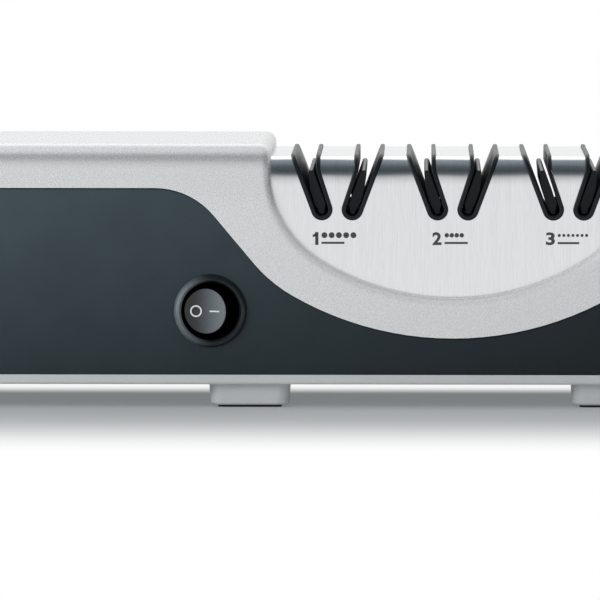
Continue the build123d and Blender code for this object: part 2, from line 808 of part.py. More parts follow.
def slot_bars() -> Part:
    """The round bars of wire that run through the stack."""
    with BuildPart() as bars:
        with BuildSketch(Plane.YZ.offset(stack_start)):
            with Locations((0, spindle_height)):
                with PolarLocations(winding_slot_circle, slot_count, start_angle=first_slot_angle):
                    Circle(winding_slot_radius)
        extrude(amount=stack_length)
    return bars.part


with BuildPart() as motor_stator:
    add(stack_block(stack_start, stack_length))
    add(rod(stack_start, stack_start + stack_length, stator_bore_radius), mode=Mode.SUBTRACT)
    add(slot_bars(), mode=Mode.SUBTRACT)
    for y, z in bolt_places:
        add(rod(stack_start, stack_start + stack_length, bolt_radius, y, z), mode=Mode.SUBTRACT)
keep("motor_stator", motor_stator.part)

with BuildPart() as motor_windings:
    for side in sides.values():
        near, far = side * motor_half, side * (motor_half + winding_head_length)
        low, high = motor_x + min(near, far), motor_x + max(near, far)
        add(rod(low, high, winding_outer_radius))
        add(rod(low, high, winding_inner_radius), mode=Mode.SUBTRACT)
        far_end = motor_windings.faces().filter_by(Axis.X).sort_by(Axis.X)[0 if side < 0 else -1]
        fillet(far_end.edges(), winding_round)
    add(slot_bars())
keep("motor_windings", motor_windings.part)

for side_name, side in sides.items():
    plate_x = motor_x + side * bracket_offset
    inner_face, outer_face = plate_x - side * bracket_plate / 2, plate_x + side * bracket_plate / 2
    with BuildPart() as bracket:
        add(stack_block(min(inner_face, outer_face), bracket_plate))
        add(rod(plate_x - bush_length / 2 + bush_flange, plate_x + bush_length / 2, bracket_boss_radius))
        for y, z in bolt_places:
            low, high = sorted((motor_x + side * motor_half, inner_face))
            add(rod(low, high, bolt_head_radius, y, z))
        for way in (-1, 1):
            tab_x = (outer_face + inner_face - side * tab_length) / 2
            tab_y = way * (mount_half_y + mount_radius - tab_reach / 2)
            with Locations((tab_x, tab_y, tab_bottom)):
                Box(
                    bracket_plate + tab_length,
                    tab_reach,
                    tab_thickness,
                    align=(Align.CENTER, Align.CENTER, Align.MIN),
                )
        for x, y in mount_places:
            add(upright_rod(x, y, tab_bottom, tab_top, screw_radius + screw_clearance), mode=Mode.SUBTRACT)
        add(rod(plate_x - bush_length / 2, plate_x + bush_length / 2, bush_radius), mode=Mode.SUBTRACT)
        for y, z in bolt_places:
            low, high = sorted((motor_x + side * motor_half, outer_face))
            add(rod(low, high, bolt_radius, y, z), mode=Mode.SUBTRACT)
    keep(f"motor_bracket_{side_name}", bracket.part)

with BuildPart() as motor_bearings:
    for side in sides.values():
        add(bush(motor_x + side * bracket_offset, bush_length))
keep("motor_bearings", motor_bearings.part)

bolt_reach = bracket_offset + bracket_plate / 2
with BuildPart() as motor_bolts:
    for y, z in bolt_places:
        add(rod(motor_x - bolt_reach, motor_x + bolt_reach, bolt_radius, y, z))
        for side in sides.values():
            low, high = sorted((side * bolt_reach, side * (bolt_reach + bolt_head_height)))
            add(rod(motor_x + low, motor_x + high, bolt_head_radius, y, z))
keep("motor_bolts", motor_bolts.part)

with BuildPart() as motor_mounts:
    for x, y in mount_places:
        add(upright_rod(x, y, mount_bottom, tab_bottom, mount_radius))
        add(upright_rod(x, y, mount_bottom, tab_bottom, screw_radius), mode=Mode.SUBTRACT)
keep("motor_mounts", motor_mounts.part)

rotor_half = motor_half + rotor_overhang
collar_half = bracket_offset - bush_length / 2 - end_play
with BuildPart() as motor_rotor:
    add(rod(motor_x - rotor_half, motor_x + rotor_half, stator_bore_radius - air_gap))
    chamfer(motor_rotor.faces().filter_by(Axis.X).edges(), rotor_chamfer)
    add(rod(motor_x - collar_half, motor_x + collar_half, rotor_collar_radius))
    add(rod(motor_x - collar_half, motor_x + collar_half, shaft_radius), mode=Mode.SUBTRACT)
keep("motor_rotor", motor_rotor.part)

fan_end = motor_x - bracket_offset - bush_length / 2 - fan_gap
fan_start = fan_end - fan_width
with BuildPart() as motor_shaft:
    add(rod(fan_start, coupling_x - shaft_gap / 2, shaft_radius))
keep("motor_shaft", motor_shaft.part)

with BuildPart() as cooling_fan:
    add(rod(fan_end - fan_back, fan_end, fan_radius))
    add(rod(fan_start, fan_end, fan_hub_radius))
    with BuildSketch(Plane.YZ.offset(fan_start)):
        with Locations((0, spindle_height)):
            with PolarLocations((fan_hub_radius + fan_radius - fan_blade) / 2, fan_blades):
                Rectangle(fan_radius - fan_hub_radius, fan_blade)
    extrude(amount=fan_width)
    add(rod(fan_start, fan_end, shaft_radius), mode=Mode.SUBTRACT)
keep("cooling_fan", cooling_fan.part)


# ---- screws -------------------------------------------------------------------------------------
def screw(x: float, y: float, seat: float, length: float, way: int = 1) -> Part:
    """A cross-recessed screw with its head on seat, pointing up where way is 1 and down where it is -1."""
    head_end, tip = seat + way * screw_head_height, seat - way * length
    with BuildPart() as body:
        add(upright_rod(x, y, min(seat, head_end), max(seat, head_end), screw_head_radius))
        fillet(body.faces().filter_by(Axis.Z).sort_by(Axis.Z)[-1 if way > 0 else 0].edges(), screw_head_round)
        add(upright_rod(x, y, min(seat, tip), max(seat, tip), screw_radius))
        with Locations((x, y, head_end - way * screw_recess_depth / 2)):
            Box(screw_recess_length, screw_recess_width, screw_recess_depth, mode=Mode.SUBTRACT)
            Box(screw_recess_width, screw_recess_length, screw_recess_depth, mode=Mode.SUBTRACT)
    return body.part


with BuildPart() as motor_mount_screws:
    for x, y in mount_places:
        add(screw(x, y, tab_top, tab_top - mount_bottom + screw_bite))
keep("motor_mount_screws", motor_mount_screws.part)

with BuildPart() as bracket_screws:
    for x in bracket_screw_x.values():
        for y in (-bracket_screw_y, bracket_screw_y):
            add(screw(x, y, spindle_foot_top, spindle_plate + bracket_screw_bite))
keep("bracket_screws", bracket_screws.part)

with BuildPart() as housing_screws:
    for x, y in post_places:
        add(screw(x, y, screw_seat, tray_top - screw_seat, way=-1))
        add(upright_rod(x, y, tray_top, tray_top + post_screw_length - post_screw_gap, post_pilot_radius))
keep("housing_screws", housing_screws.part)


# ---- switch -------------------------------------------------------------------------------------
crest_y = -panel_front - bezel_proud
well_floor_y = -panel_front + well_depth
terminal_start_y = well_floor_y + terminal_cover
switch_outer_radius = well_radius + switch_wall
terminal_places = [switch_x + step * terminal_pitch for step in (-1, 0, 1)]
switch_axis = Axis((switch_x, 0, switch_height), (0, 1, 0))
with BuildPart() as switch_body:
    with BuildSketch(Plane.XY.offset(switch_height)):
        with BuildLine():
            lip_start = (switch_x + well_radius, crest_y + well_lip + well_chamfer)
            lip_end = (switch_x + well_radius + well_chamfer, crest_y + well_lip)
            crest = (switch_x + bezel_crest_radius, crest_y)
            rim = (switch_x + bezel_radius, -panel_front)
            Line(lip_end, crest)
            SagittaArc(crest, rim, -bezel_bulge)
            Polyline(
                rim,
                (switch_x + switch_outer_radius, -panel_front),
                (switch_x + switch_outer_radius, well_floor_y + switch_floor),
                (switch_x, well_floor_y + switch_floor),
                (switch_x, well_floor_y),
                (switch_x + well_radius, well_floor_y),
                lip_start,
                lip_end,
            )
        make_face()
    revolve(axis=switch_axis)
    with Locations((switch_x, pivot_y, switch_height)):
        Cylinder(pivot_radius + running_clearance, 2 * switch_outer_radius, mode=Mode.SUBTRACT)
    with Locations([(x, terminal_start_y + switch_floor / 2, switch_height) for x in terminal_places]):
        Box(terminal_thickness, switch_floor, terminal_width, mode=Mode.SUBTRACT)
keep("switch_body", switch_body.part)

with BuildPart() as switch_terminals:
    with Locations([(x, terminal_start_y + terminal_length / 2, switch_height) for x in terminal_places]):
        Box(terminal_thickness, terminal_length, terminal_width)
keep("switch_terminals", switch_terminals.part)

face_y = pivot_y - rocker_face
with BuildPart() as upright_rocker:
    with BuildSketch(Plane.XZ.offset(rocker_dish_depth - face_y)):
        with Locations((switch_x, switch_height)):
            Ellipse(rocker_width / 2, rocker_height / 2)
    extrude(amount=-rocker_skirt - rocker_dish_depth)
    with Locations((switch_x, face_y + rocker_dish_depth - rocker_dish_radius, switch_height)):
        Cylinder(rocker_dish_radius, 2 * rocker_height, mode=Mode.SUBTRACT)
    dished_face = upright_rocker.faces().filter_by(GeomType.CYLINDER)
    fillet(dished_face.edges(), rocker_edge)
    with Locations((switch_x, pivot_y, switch_height)):
        Cylinder(pivot_boss_radius, pivot_boss_length)
        Cylinder(pivot_radius, 2 * (switch_outer_radius - pivot_end_gap))
pivot_line = Axis((switch_x, pivot_y, 0), (0, 0, 1))
keep("switch_rocker", upright_rocker.part.rotate(pivot_line, -rocker_tilt))

lead_x = motor_x + motor_half + winding_head_length / 2
lead_y = well_floor_y + (switch_floor + terminal_cover + terminal_length) / 2
with BuildPart() as switch_leads:
    for way, x in zip((-1, 1), terminal_places):
        z = switch_height + way * lead_rise
        depth = abs(spindle_height - z) - lead_radius
        route = [
            (x, lead_y, switch_height + way * terminal_width / 2),
            (x, lead_y, z),
            (lead_x, lead_y, z),
            (lead_x, -((winding_outer_radius**2 - depth**2) ** 0.5) - running_clearance, z),
        ]
        with BuildLine() as lead_line:
            FilletPolyline(*route, radius=lead_bend)
        with BuildSketch(Plane(lead_line.line @ 0, z_dir=lead_line.line % 0)):
            Circle(lead_radius)
        sweep(path=lead_line.line)
keep("switch_leads", switch_leads.part)


# ---- cord gland ---------------------------------------------------------------------------------
gland_rear = body_depth / 2
gland_seat_y = gland_rear - gland_flange
gland_lip_y = panel_front - panel_wall - gland_lip_gap
gland_axis = Axis((gland_x, 0, gland_height), (0, 1, 0))
with BuildPart() as cord_gland:
    with BuildSketch(Plane.XY.offset(gland_height)):
        with BuildLine():
            outline = [
                (gland_bore_radius, gland_rear + gland_proud),
                (gland_collar_radius, gland_rear + gland_proud),
                (gland_collar_radius, gland_rear + gland_flange_proud),
                (gland_flange_radius, gland_rear + gland_flange_proud),
                (gland_flange_radius, gland_seat_y),
                (gland_neck_radius, gland_seat_y),
                (gland_neck_radius, gland_lip_y),
                (gland_lip_radius, gland_lip_y),
                (gland_end_radius, gland_lip_y - gland_inside),
                (gland_bore_radius, gland_lip_y - gland_inside),
            ]
            Polyline([(gland_x + radius, y) for radius, y in outline], close=True)
        make_face()
    revolve(axis=gland_axis)
    rims = cord_gland.edges().filter_by(GeomType.CIRCLE).sort_by(Axis.Y)
    flange_rim = rims.filter_by(lambda edge: edge.radius > gland_flange_radius - touch)[-1]
    collar_rim = rims.filter_by(lambda edge: abs(edge.radius - gland_collar_radius) < touch)[-1]
    fillet([flange_rim, collar_rim], gland_round)
keep("cord_gland", cord_gland.part)

os.makedirs("parts", exist_ok=True)
for name, piece in pieces.items():
    export_step(piece, f"parts/{name}.step")
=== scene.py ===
import json
import logging
import math
from collections.abc import Callable, Iterator
from contextlib import contextmanager
from dataclasses import dataclass, field
from enum import Enum

import bpy
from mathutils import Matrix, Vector
from mathutils.bvhtree import BVHTree


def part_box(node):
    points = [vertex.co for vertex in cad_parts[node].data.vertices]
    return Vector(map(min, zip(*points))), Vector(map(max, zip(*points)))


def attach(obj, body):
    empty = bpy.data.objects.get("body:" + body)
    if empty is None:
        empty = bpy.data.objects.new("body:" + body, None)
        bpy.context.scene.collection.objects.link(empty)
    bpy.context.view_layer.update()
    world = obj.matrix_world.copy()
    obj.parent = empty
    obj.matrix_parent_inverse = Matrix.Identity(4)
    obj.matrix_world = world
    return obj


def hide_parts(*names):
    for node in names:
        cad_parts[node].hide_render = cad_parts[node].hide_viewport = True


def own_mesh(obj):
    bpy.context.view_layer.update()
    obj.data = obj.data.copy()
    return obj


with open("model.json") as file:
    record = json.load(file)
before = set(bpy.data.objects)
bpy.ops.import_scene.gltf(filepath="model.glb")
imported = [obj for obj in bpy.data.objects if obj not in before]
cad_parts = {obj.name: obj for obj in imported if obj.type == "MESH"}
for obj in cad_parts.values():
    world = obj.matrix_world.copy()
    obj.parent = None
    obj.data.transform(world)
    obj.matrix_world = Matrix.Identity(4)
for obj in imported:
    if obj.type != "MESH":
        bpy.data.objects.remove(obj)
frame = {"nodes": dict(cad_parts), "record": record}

# Looks of an electric knife sharpener with three stages. Metres, +Z up, -Y the front, +X towards
# the polishing end. Lengths and places whose names end in _mm are in millimetres.

log = logging.getLogger("knife_sharpener")
Pair = tuple[float, float]
Triple = tuple[float, float, float]
Colour = Triple
Socket = bpy.types.NodeSocket
Piece = bpy.types.Object
MM = 0.001
WHITE = (1.0, 1.0, 1.0)
UPRIGHT = (math.pi / 2, 0.0, 0.0)  # turn that lets a flat mesh face the front
SHARP_ANGLE = 32.0  # edges that turn by more degrees stay sharp
ONE_NOISE = (0.3, 0.7)  # usual range of a noise
TWO_NOISES = (0.7, 1.3)  # usual range of two noises added up
WELD_M = 0.000002  # corners closer than this are merged
DISC_CORNERS = 24
LETTER_BOLDNESS = 0.035  # growth of the outline against the letter's height
LETTER_DEPTH = 0.5
LETTER_STEPS = 8


def rgba(colour: Colour) -> tuple[float, float, float, float]:
    """Adds full opacity to a colour."""
    return (*colour, 1.0)


def shade(colour: Colour, factor: float) -> Colour:
    """A colour times a factor, with no channel above one."""
    return tuple(min(channel * factor, 1.0) for channel in colour)


# ---- node trees ----
class NodeGraph:
    """Node tree of one material or world, with a call for each kind of node that is used."""

    COLUMNS = 8
    SPACING = (190, 320)

    def __init__(self, tree: bpy.types.NodeTree) -> None:
        """Takes over a node tree and empties it."""
        self.tree = tree
        self.tree.nodes.clear()

    def add(self, kind: str, inputs: dict | None = None, **settings: object) -> bpy.types.Node:
        """Adds a node.

        Args:
            kind: Node type without its ShaderNode prefix.
            inputs: Value or output socket for each input, by name or number.
            settings: Properties of the node.

        Returns:
            The new node.
        """
        node = self.tree.nodes.new("ShaderNode" + kind)
        row, column = divmod(len(self.tree.nodes), self.COLUMNS)
        node.location = (column * self.SPACING[0], -row * self.SPACING[1])
        for name, value in settings.items():
            setattr(node, name, value)
        for name, value in (inputs or {}).items():
            if isinstance(value, bpy.types.NodeSocket):
                self.tree.links.new(value, node.inputs[name])
            else:
                node.inputs[name].default_value = value
        return node

    def place(self, stretch: Triple = (1.0, 1.0, 1.0),
              shift_mm: Triple = (0.0, 0.0, 0.0)) -> Socket:
        """Object coordinates about an origin, scaled on each axis. A small scale stretches."""
        spot = self.vector("ADD", self.add("TexCoord").outputs["Object"],
                           tuple(-s * MM for s in shift_mm))
        return self.add("Mapping", {"Vector": spot, "Scale": stretch}).outputs[0]

    def axis(self, where: Socket, number: int) -> Socket:
        """One coordinate of a vector: 0 for X, 1 for Y, 2 for Z."""
        return self.add("SeparateXYZ", {0: where}).outputs[number]

    def vector(self, operation: str, *inputs: Socket | Triple, output: str = "Vector") -> Socket:
        """Joins vectors by a vector math operation, whose output may be a plain Value."""
        node = self.add("VectorMath", dict(enumerate(inputs)), operation=operation)
        return node.outputs[output]

    def noise(self, where: Socket, grain_mm: float, detail: float = 2.0) -> Socket:
        """Cloudy noise about 0.5, with blots of a size and a number of finer layers."""
        inputs = {"Vector": where, "Scale": 1.0 / (grain_mm * MM), "Detail": detail}
        return self.add("TexNoise", inputs).outputs[0]

    def cells(self, where: Socket, cell_mm: float) -> Socket:
        """One random value from 0 to 1 for each cell of a size."""
        voronoi = self.add("TexVoronoi", {"Vector": where, "Scale": 1.0 / (cell_mm * MM)})
        return self.add("SeparateColor", {0: voronoi.outputs["Color"]}).outputs[0]

    def span(self, value: Socket, low: float, high: float, start: float = 0.0, end: float = 1.0,
             smooth: bool = False) -> Socket:
        """Maps a value from start and end to low and high, held at both.

        Args:
            value: Value socket.
            low: Result at start.
            high: Result at end.
            start: Value that gives low.
            end: Value that gives high.
            smooth: Whether the change eases in and out.

        Returns:
            Value socket.
        """
        inputs = {"Value": value, "From Min": start, "From Max": end, "To Min": low,
                  "To Max": high}
        kind = "SMOOTHSTEP" if smooth else "LINEAR"
        return self.add("MapRange", inputs, interpolation_type=kind).outputs[0]

    def span_mm(self, length: Socket, low: float, high: float, ends_mm: Pair,
                smooth: bool = True) -> Socket:
        """Maps a length or coordinate between two ends to low and high, held at both."""
        start, end = (end_mm * MM for end_mm in ends_mm)
        return self.span(length, low, high, start, end, smooth)

    def calc(self, first: Socket | float, second: Socket | float,
             operation: str = "ADD") -> Socket:
        """Joins two values by a math operation."""
        return self.add("Math", {0: first, 1: second}, operation=operation).outputs[0]

    def blend(self, share: Socket | float, first: Socket | Colour,
              second: Socket | Colour) -> Socket:
        """Mixes two colours, by the share of the second."""
        pair = [rgba(c) if isinstance(c, tuple) else c for c in (first, second)]
        return self.add("Mix", {0: share, 6: pair[0], 7: pair[1]}, data_type="RGBA").outputs[2]

    def scale(self, colour: Socket | Colour, level: Socket) -> Socket:
        """A colour times a level."""
        return self.add("VectorMath", {0: colour, "Scale": level}, operation="SCALE").outputs[0]

    def bump(self, height: Socket, depth_mm: float) -> Socket:
        """Normal of a height pattern whose full step has a depth."""
        return self.add("Bump", {"Height": height, "Distance": depth_mm * MM}).outputs[0]

    def sharp_ray(self, path: bpy.types.Node) -> Socket:
        """One for the rays of a light path that mirror or pass through."""
        rays = [path.outputs[f"Is {kind} Ray"] for kind in ("Glossy", "Transmission")]
        return self.calc(*rays, "MAXIMUM")

    def surface(self, inputs: dict) -> None:
        """Ends the tree with a Principled shader."""
        shader = self.add("BsdfPrincipled", inputs)
        self.add("OutputMaterial", {"Surface": shader.outputs[0]})


# ---- finishes ----
@dataclass(frozen=True)
class Finish:
    """A surface finish that makes one material."""

    name: str

    def material(self) -> bpy.types.Material:
        """The finish's material, made at its first use."""
        found = bpy.data.materials.get(self.name)
        if found is None:
            found = bpy.data.materials.new(self.name)
            found.use_nodes = True
            self.draw(NodeGraph(found.node_tree))
        return found

    def draw(self, graph: NodeGraph) -> None:
        """Draws the finish's nodes into an emptied tree."""
        raise NotImplementedError


@dataclass(frozen=True)
class SatinPaint(Finish):
    """Silver lacquer with fine metal flakes, less metallic low down and at the top."""

    colour: Colour = (0.590, 0.602, 0.612)
    metallic: float = 0.55
    low_share: float = 0.2
    low_z_mm: Pair = (66.0, 80.0)
    top_share: float = 0.4
    top_z_mm: Pair = (88.5, 90.5)
    roughness: float = 0.27
    flake_mm: float = 0.32
    flake_depth_mm: float = 0.0007
    glitter: float = 0.03
    spark: float = 0.10
    spark_start: float = 0.97
    cloud_mm: float = 1.1
    cloud: float = 0.015
    lacquer: float = 0.2

    def draw(self, graph: NodeGraph) -> None:
        """Draws flakes of differing brightness with a few sparks under a smooth lacquer.

        Args:
            graph: Emptied node tree.
        """
        where = graph.place()
        flakes = graph.cells(where, self.flake_mm)
        coarse = graph.noise(where, self.cloud_mm, 3.0)
        shades = graph.span(flakes, 1.0 - self.glitter, 1.0 + self.glitter)
        spark = graph.span(flakes, 0.0, self.spark, self.spark_start, 1.0)
        cloud = graph.span(coarse, 1.0 - self.cloud, 1.0 + self.cloud, *ONE_NOISE)
        level = graph.calc(graph.calc(shades, cloud, "MULTIPLY"), spark)
        height = graph.axis(where, 2)
        low = graph.span_mm(height, self.metallic * self.low_share, self.metallic, self.low_z_mm)
        top = graph.span_mm(height, 1.0, self.top_share, self.top_z_mm)
        graph.surface({"Base Color": graph.scale(self.colour, level),
                       "Metallic": graph.calc(low, top, "MULTIPLY"),
                       "Roughness": graph.span(flakes, self.roughness - 0.03,
                                               self.roughness + 0.04),
                       "Normal": graph.bump(flakes, self.flake_depth_mm),
                       "Coat Weight": self.lacquer, "Coat Roughness": self.lacquer})


@dataclass(frozen=True)
class MouldedPlastic(Finish):
    """Plastic with the grain of its mould, and optional painted light: the tone may darken towards
    +X and lighten towards the top.
    """

    colour: Colour = (0.02, 0.02, 0.02)
    roughness: float = 0.45
    grain_mm: float = 0.5
    depth_mm: float = 0.01
    reflectance: float = 0.5
    variation: float = 0.1
    gloss_change: float = 0.07
    broad_mm: float = 14.0
    # painted light and shade: the next four fields darken the tone from -X to +X and lighten it
    # from bottom to top
    drift: float = 0.0
    drift_x_mm: Pair = (-150.0, 150.0)
    lift: float = 0.0
    lift_z_mm: Pair = (-14.0, 86.0)

    def draw(self, graph: NodeGraph) -> None:
        """Draws a fine mould grain with a slight change of tone and gloss, and any painted light
        along X and Z.

        Args:
            graph: Emptied node tree.
        """
        where = graph.place()
        grain = graph.noise(where, self.grain_mm, 3.0)
        broad = graph.noise(where, self.broad_mm)
        tone = graph.blend(graph.span(graph.calc(grain, broad), 0.0, 1.0, *TWO_NOISES),
                           shade(self.colour, 1.0 - self.variation),
                           shade(self.colour, 1.0 + self.variation))
        # painted light and shade: darker towards +X, away from the key lamp, and lighter towards
        # the top
        if self.drift:
            along = graph.span_mm(graph.axis(where, 0), 1.0 + self.drift, 1.0 - self.drift,
                                  self.drift_x_mm, smooth=False)
            painted_top_level = graph.span_mm(graph.axis(where, 2), 1.0 - self.lift, 1.0 + self.lift,
                                   self.lift_z_mm, smooth=False)
            tone = graph.scale(tone, graph.calc(along, painted_top_level, "MULTIPLY"))
        rough = graph.span(broad, self.roughness * (1.0 - self.gloss_change),
                           self.roughness * (1.0 + self.gloss_change), *ONE_NOISE)
        graph.surface({"Base Color": tone, "Roughness": rough,
                       "Normal": graph.bump(grain, self.depth_mm),
                       "Specular IOR Level": self.reflectance})


@dataclass(frozen=True)
class SwitchShell(Finish):
    """Glossy black plastic with a painted highlight towards one side, and painted shade that turns
    it matt black in the well.
    """

    colour: Colour = (0.006, 0.009, 0.011)
    # painted highlight: a lighter colour towards one side, faded out along X by the next field
    light_colour: Colour = (0.115, 0.140, 0.156)
    light_x_mm: Pair = (-37.0, -22.0)
    waver_mm: float = 0.3
    grain_mm: float = 0.6
    depth_mm: float = 0.001
    roughness: float = 0.3
    reflectance: float = 0.45
    # painted shade: matt black with no reflection inside the well
    inner_colour: Colour = (0.001, 0.0012, 0.0015)
    inner_roughness: float = 0.7
    centre_mm: Triple = (-23.1, 0.0, 34.3)
    well_radius_mm: Pair = (10.2, 10.4)

    def draw(self, graph: NodeGraph) -> None:
        """Draws the shown surface's gloss with a painted highlight along X, and takes the gloss
        away inside as painted shade.

        Args:
            graph: Emptied node tree.
        """
        where = graph.place()
        grain = graph.noise(where, self.grain_mm)
        waver = graph.span(grain, -self.waver_mm * MM, self.waver_mm * MM, *ONE_NOISE)
        across = graph.calc(graph.axis(where, 0), waver)
        # painted highlight along X, and painted shade inside
        light = graph.span_mm(across, 1.0, 0.0, self.light_x_mm)
        shown = graph.blend(light, self.colour, self.light_colour)
        inside = self.inside(graph, where)
        graph.surface({"Base Color": graph.blend(inside, shown, self.inner_colour),
                       "Roughness": graph.span(inside, self.roughness, self.inner_roughness),
                       "Normal": graph.bump(grain, self.depth_mm),
                       "Specular IOR Level": graph.span(inside, self.reflectance, 0.0)})

    def inside(self, graph: NodeGraph, where: Socket) -> Socket:
        """Mask of the painted shade: one within the well's radius, zero on the bezel.

        Args:
            graph: Graph that is drawn in.
            where: Object coordinates.

        Returns:
            The share that lies inside.
        """
        flat = graph.vector("MULTIPLY", where, (1.0, 0.0, 1.0))
        radius = graph.vector("DISTANCE", flat, tuple(c * MM for c in self.centre_mm),
                              output="Value")
        return graph.span_mm(radius, 1.0, 0.0, self.well_radius_mm)


@dataclass(frozen=True)
class SwitchCap(SwitchShell):
    """Glossy black cap with a painted highlight towards its right, and painted shade that makes it
    matt black on its sides and behind.
    """

    # painted highlight: lightest at the cap's right side, gone towards its left
    light_x_mm: Pair = (-17.5, -30.0)
    roughness: float = 0.27
    face_normal: Triple = (-0.208, -0.978, 0.0)
    face_range: Pair = (0.5, 0.85)
    back_y_mm: Pair = (-51.0, -50.0)

    def inside(self, graph: NodeGraph, where: Socket) -> Socket:
        """Mask of the painted shade: zero on the cap's face, one on its sides and behind.

        Args:
            graph: Graph that is drawn in.
            where: Object coordinates.

        Returns:
            The share that isn't face.
        """
        normal = graph.add("TexCoord").outputs["Normal"]
        facing = graph.vector("DOT_PRODUCT", normal, self.face_normal, output="Value")
        sides = graph.span(facing, 1.0, 0.0, *self.face_range, smooth=True)
        behind = graph.span_mm(graph.axis(where, 1), 0.0, 1.0, self.back_y_mm)
        return graph.calc(sides, behind, "MAXIMUM")


@dataclass(frozen=True)
class BrushedSteel(Finish):
    """Stainless sheet, brushed along the bend."""

    colour: Colour = (0.735, 0.75, 0.765)
    roughness: float = 0.2
    line_mm: float = 0.28
    line_depth_mm: float = 0.0005
    line_range: Pair = (1.0, 1.5)
    anisotropy: float = 0.75

    def draw(self, graph: NodeGraph) -> None:
        """Draws fine and coarse brushing lines that run round the bend.

        Args:
            graph: Emptied node tree.
        """
        fine = graph.noise(graph.place((1.0, 0.012, 0.012)), self.line_mm)
        coarse = graph.noise(graph.place((1.0, 0.02, 0.02), (3.0, 0.0, 0.0)), self.line_mm * 7.0)
        scratches = graph.noise(graph.place((1.0, 0.04, 0.04), (9.0, 4.0, 0.0)),
                                self.line_mm * 0.6, 1.0)
        lines = graph.calc(graph.calc(fine, scratches), graph.calc(coarse, 0.5, "MULTIPLY"))
        level = graph.span(lines, 0.0, 1.0, *self.line_range)
        rough = graph.span(lines, self.roughness - 0.015, self.roughness + 0.02, *self.line_range)
        tangent = graph.add("Tangent", direction_type="RADIAL", axis="X").outputs[0]
        graph.surface({"Base Color": graph.blend(level, shade(self.colour, 0.955),
                                                 shade(self.colour, 1.04)),
                       "Metallic": 1.0, "Roughness": rough, "Anisotropic": self.anisotropy,
                       "Anisotropic Rotation": 0.25, "Tangent": tangent,
                       "Normal": graph.bump(lines, self.line_depth_mm)})


@dataclass(frozen=True)
class SoftRubber(Finish):
    """Matt rubber with a dusty bloom."""

    colour: Colour = (0.018, 0.018, 0.019)
    dust: float = 2.1
    dust_mm: float = 5.0
    pit_mm: float = 0.35
    pit_depth_mm: float = 0.03

    def draw(self, graph: NodeGraph) -> None:
        """Draws a pitted, dull surface.

        Args:
            graph: Emptied node tree.
        """
        where = graph.place()
        pits = graph.noise(where, self.pit_mm, 4.0)
        bloom = graph.noise(where, self.dust_mm, 3.0)
        tone = graph.blend(graph.span(bloom, 0.0, 0.6, 0.45, 0.75), self.colour,
                           shade(self.colour, self.dust))
        graph.surface({"Base Color": tone, "Roughness": graph.span(bloom, 0.72, 0.86, *ONE_NOISE),
                       "Normal": graph.bump(pits, self.pit_depth_mm)})


@dataclass(frozen=True)
class BareMetal(Finish):
    """Turned, plated or stamped metal."""

    colour: Colour = (0.55, 0.55, 0.55)
    roughness: float = 0.28
    stretch: Triple = (1.0, 1.0, 1.0)
    line_mm: float = 0.5
    tarnish: Colour = (0.4, 0.4, 0.4)
    tarnish_mm: float = 6.0
    mark_depth_mm: float = 0.006

    def draw(self, graph: NodeGraph) -> None:
        """Draws tool marks along one direction and a patchy tarnish.

        Args:
            graph: Emptied node tree.
        """
        marks = graph.noise(graph.place(self.stretch), self.line_mm, 3.0)
        patches = graph.noise(graph.place(), self.tarnish_mm, 3.0)
        tone = graph.blend(graph.span(patches, 0.0, 0.5, 0.45, 0.8), self.colour, self.tarnish)
        rough = graph.span(graph.calc(marks, patches), self.roughness - 0.07,
                           self.roughness + 0.1, *TWO_NOISES)
        graph.surface({"Base Color": tone, "Metallic": 1.0, "Roughness": rough,
                       "Normal": graph.bump(marks, self.mark_depth_mm)})


@dataclass(frozen=True)
class LaminatedIron(Finish):
    """Stack of stamped iron sheets on edge."""

    sheet_mm: float = 0.65
    sheet_depth_mm: float = 0.05
    colour: Colour = (0.30, 0.31, 0.33)
    gap_colour: Colour = (0.05, 0.048, 0.046)
    rust: Colour = (0.17, 0.12, 0.09)
    rust_mm: float = 2.5

    def draw(self, graph: NodeGraph) -> None:
        """Draws the sheets' edges as stripes across the motor's axis, with a little rust.

        Args:
            graph: Emptied node tree.
        """
        along = graph.axis(graph.place(), 0)
        sheets = graph.calc(along, 1.0 / (self.sheet_mm * MM), "MULTIPLY")
        edge = graph.span(graph.calc(sheets, 1.0, "PINGPONG"), 0.0, 1.0, 0.12, 0.4)
        wear = graph.noise(graph.place(), self.rust_mm, 4.0)
        worn = graph.blend(graph.span(wear, 0.0, 0.7, 0.5, 0.75), self.colour, self.rust)
        graph.surface({"Base Color": graph.blend(edge, self.gap_colour, worn), "Metallic": 0.8,
                       "Roughness": graph.span(wear, 0.38, 0.6, *ONE_NOISE),
                       "Normal": graph.bump(edge, self.sheet_depth_mm)})


@dataclass(frozen=True)
class EnamelledCopper(Finish):
    """Bundle of enamelled copper wire."""

    wire_mm: float = 0.5
    wire_depth_mm: float = 0.12
    rings_per_wire: float = 0.32
    colour: Colour = (0.50, 0.16, 0.05)
    light_colour: Colour = (0.62, 0.25, 0.10)
    # painted shade: share of the colour left in the gaps between wires
    gap_share: float = 0.25
    tint_mm: float = 1.4

    def draw(self, graph: NodeGraph) -> None:
        """Draws wires side by side, wound round the bundle, with painted shade in the gaps between
        them.

        Args:
            graph: Emptied node tree.
        """
        where = graph.place()
        waves = {"Vector": where, "Scale": self.rings_per_wire / (self.wire_mm * MM),
                 "Distortion": 1.6, "Detail": 1.0, "Detail Scale": 1.2}
        wires = graph.add("TexWave", waves, wave_type="RINGS", rings_direction="X").outputs[1]
        tint = graph.blend(graph.noise(where, self.tint_mm), self.colour, self.light_colour)
        tone = graph.blend(graph.span(wires, 0.0, 1.0, 0.05, 0.5),
                           shade(self.colour, self.gap_share), tint)
        graph.surface({"Base Color": tone, "Metallic": 0.65, "Roughness": 0.3,
                       "Normal": graph.bump(wires, self.wire_depth_mm),
                       "Coat Weight": 0.5, "Coat Roughness": 0.12})


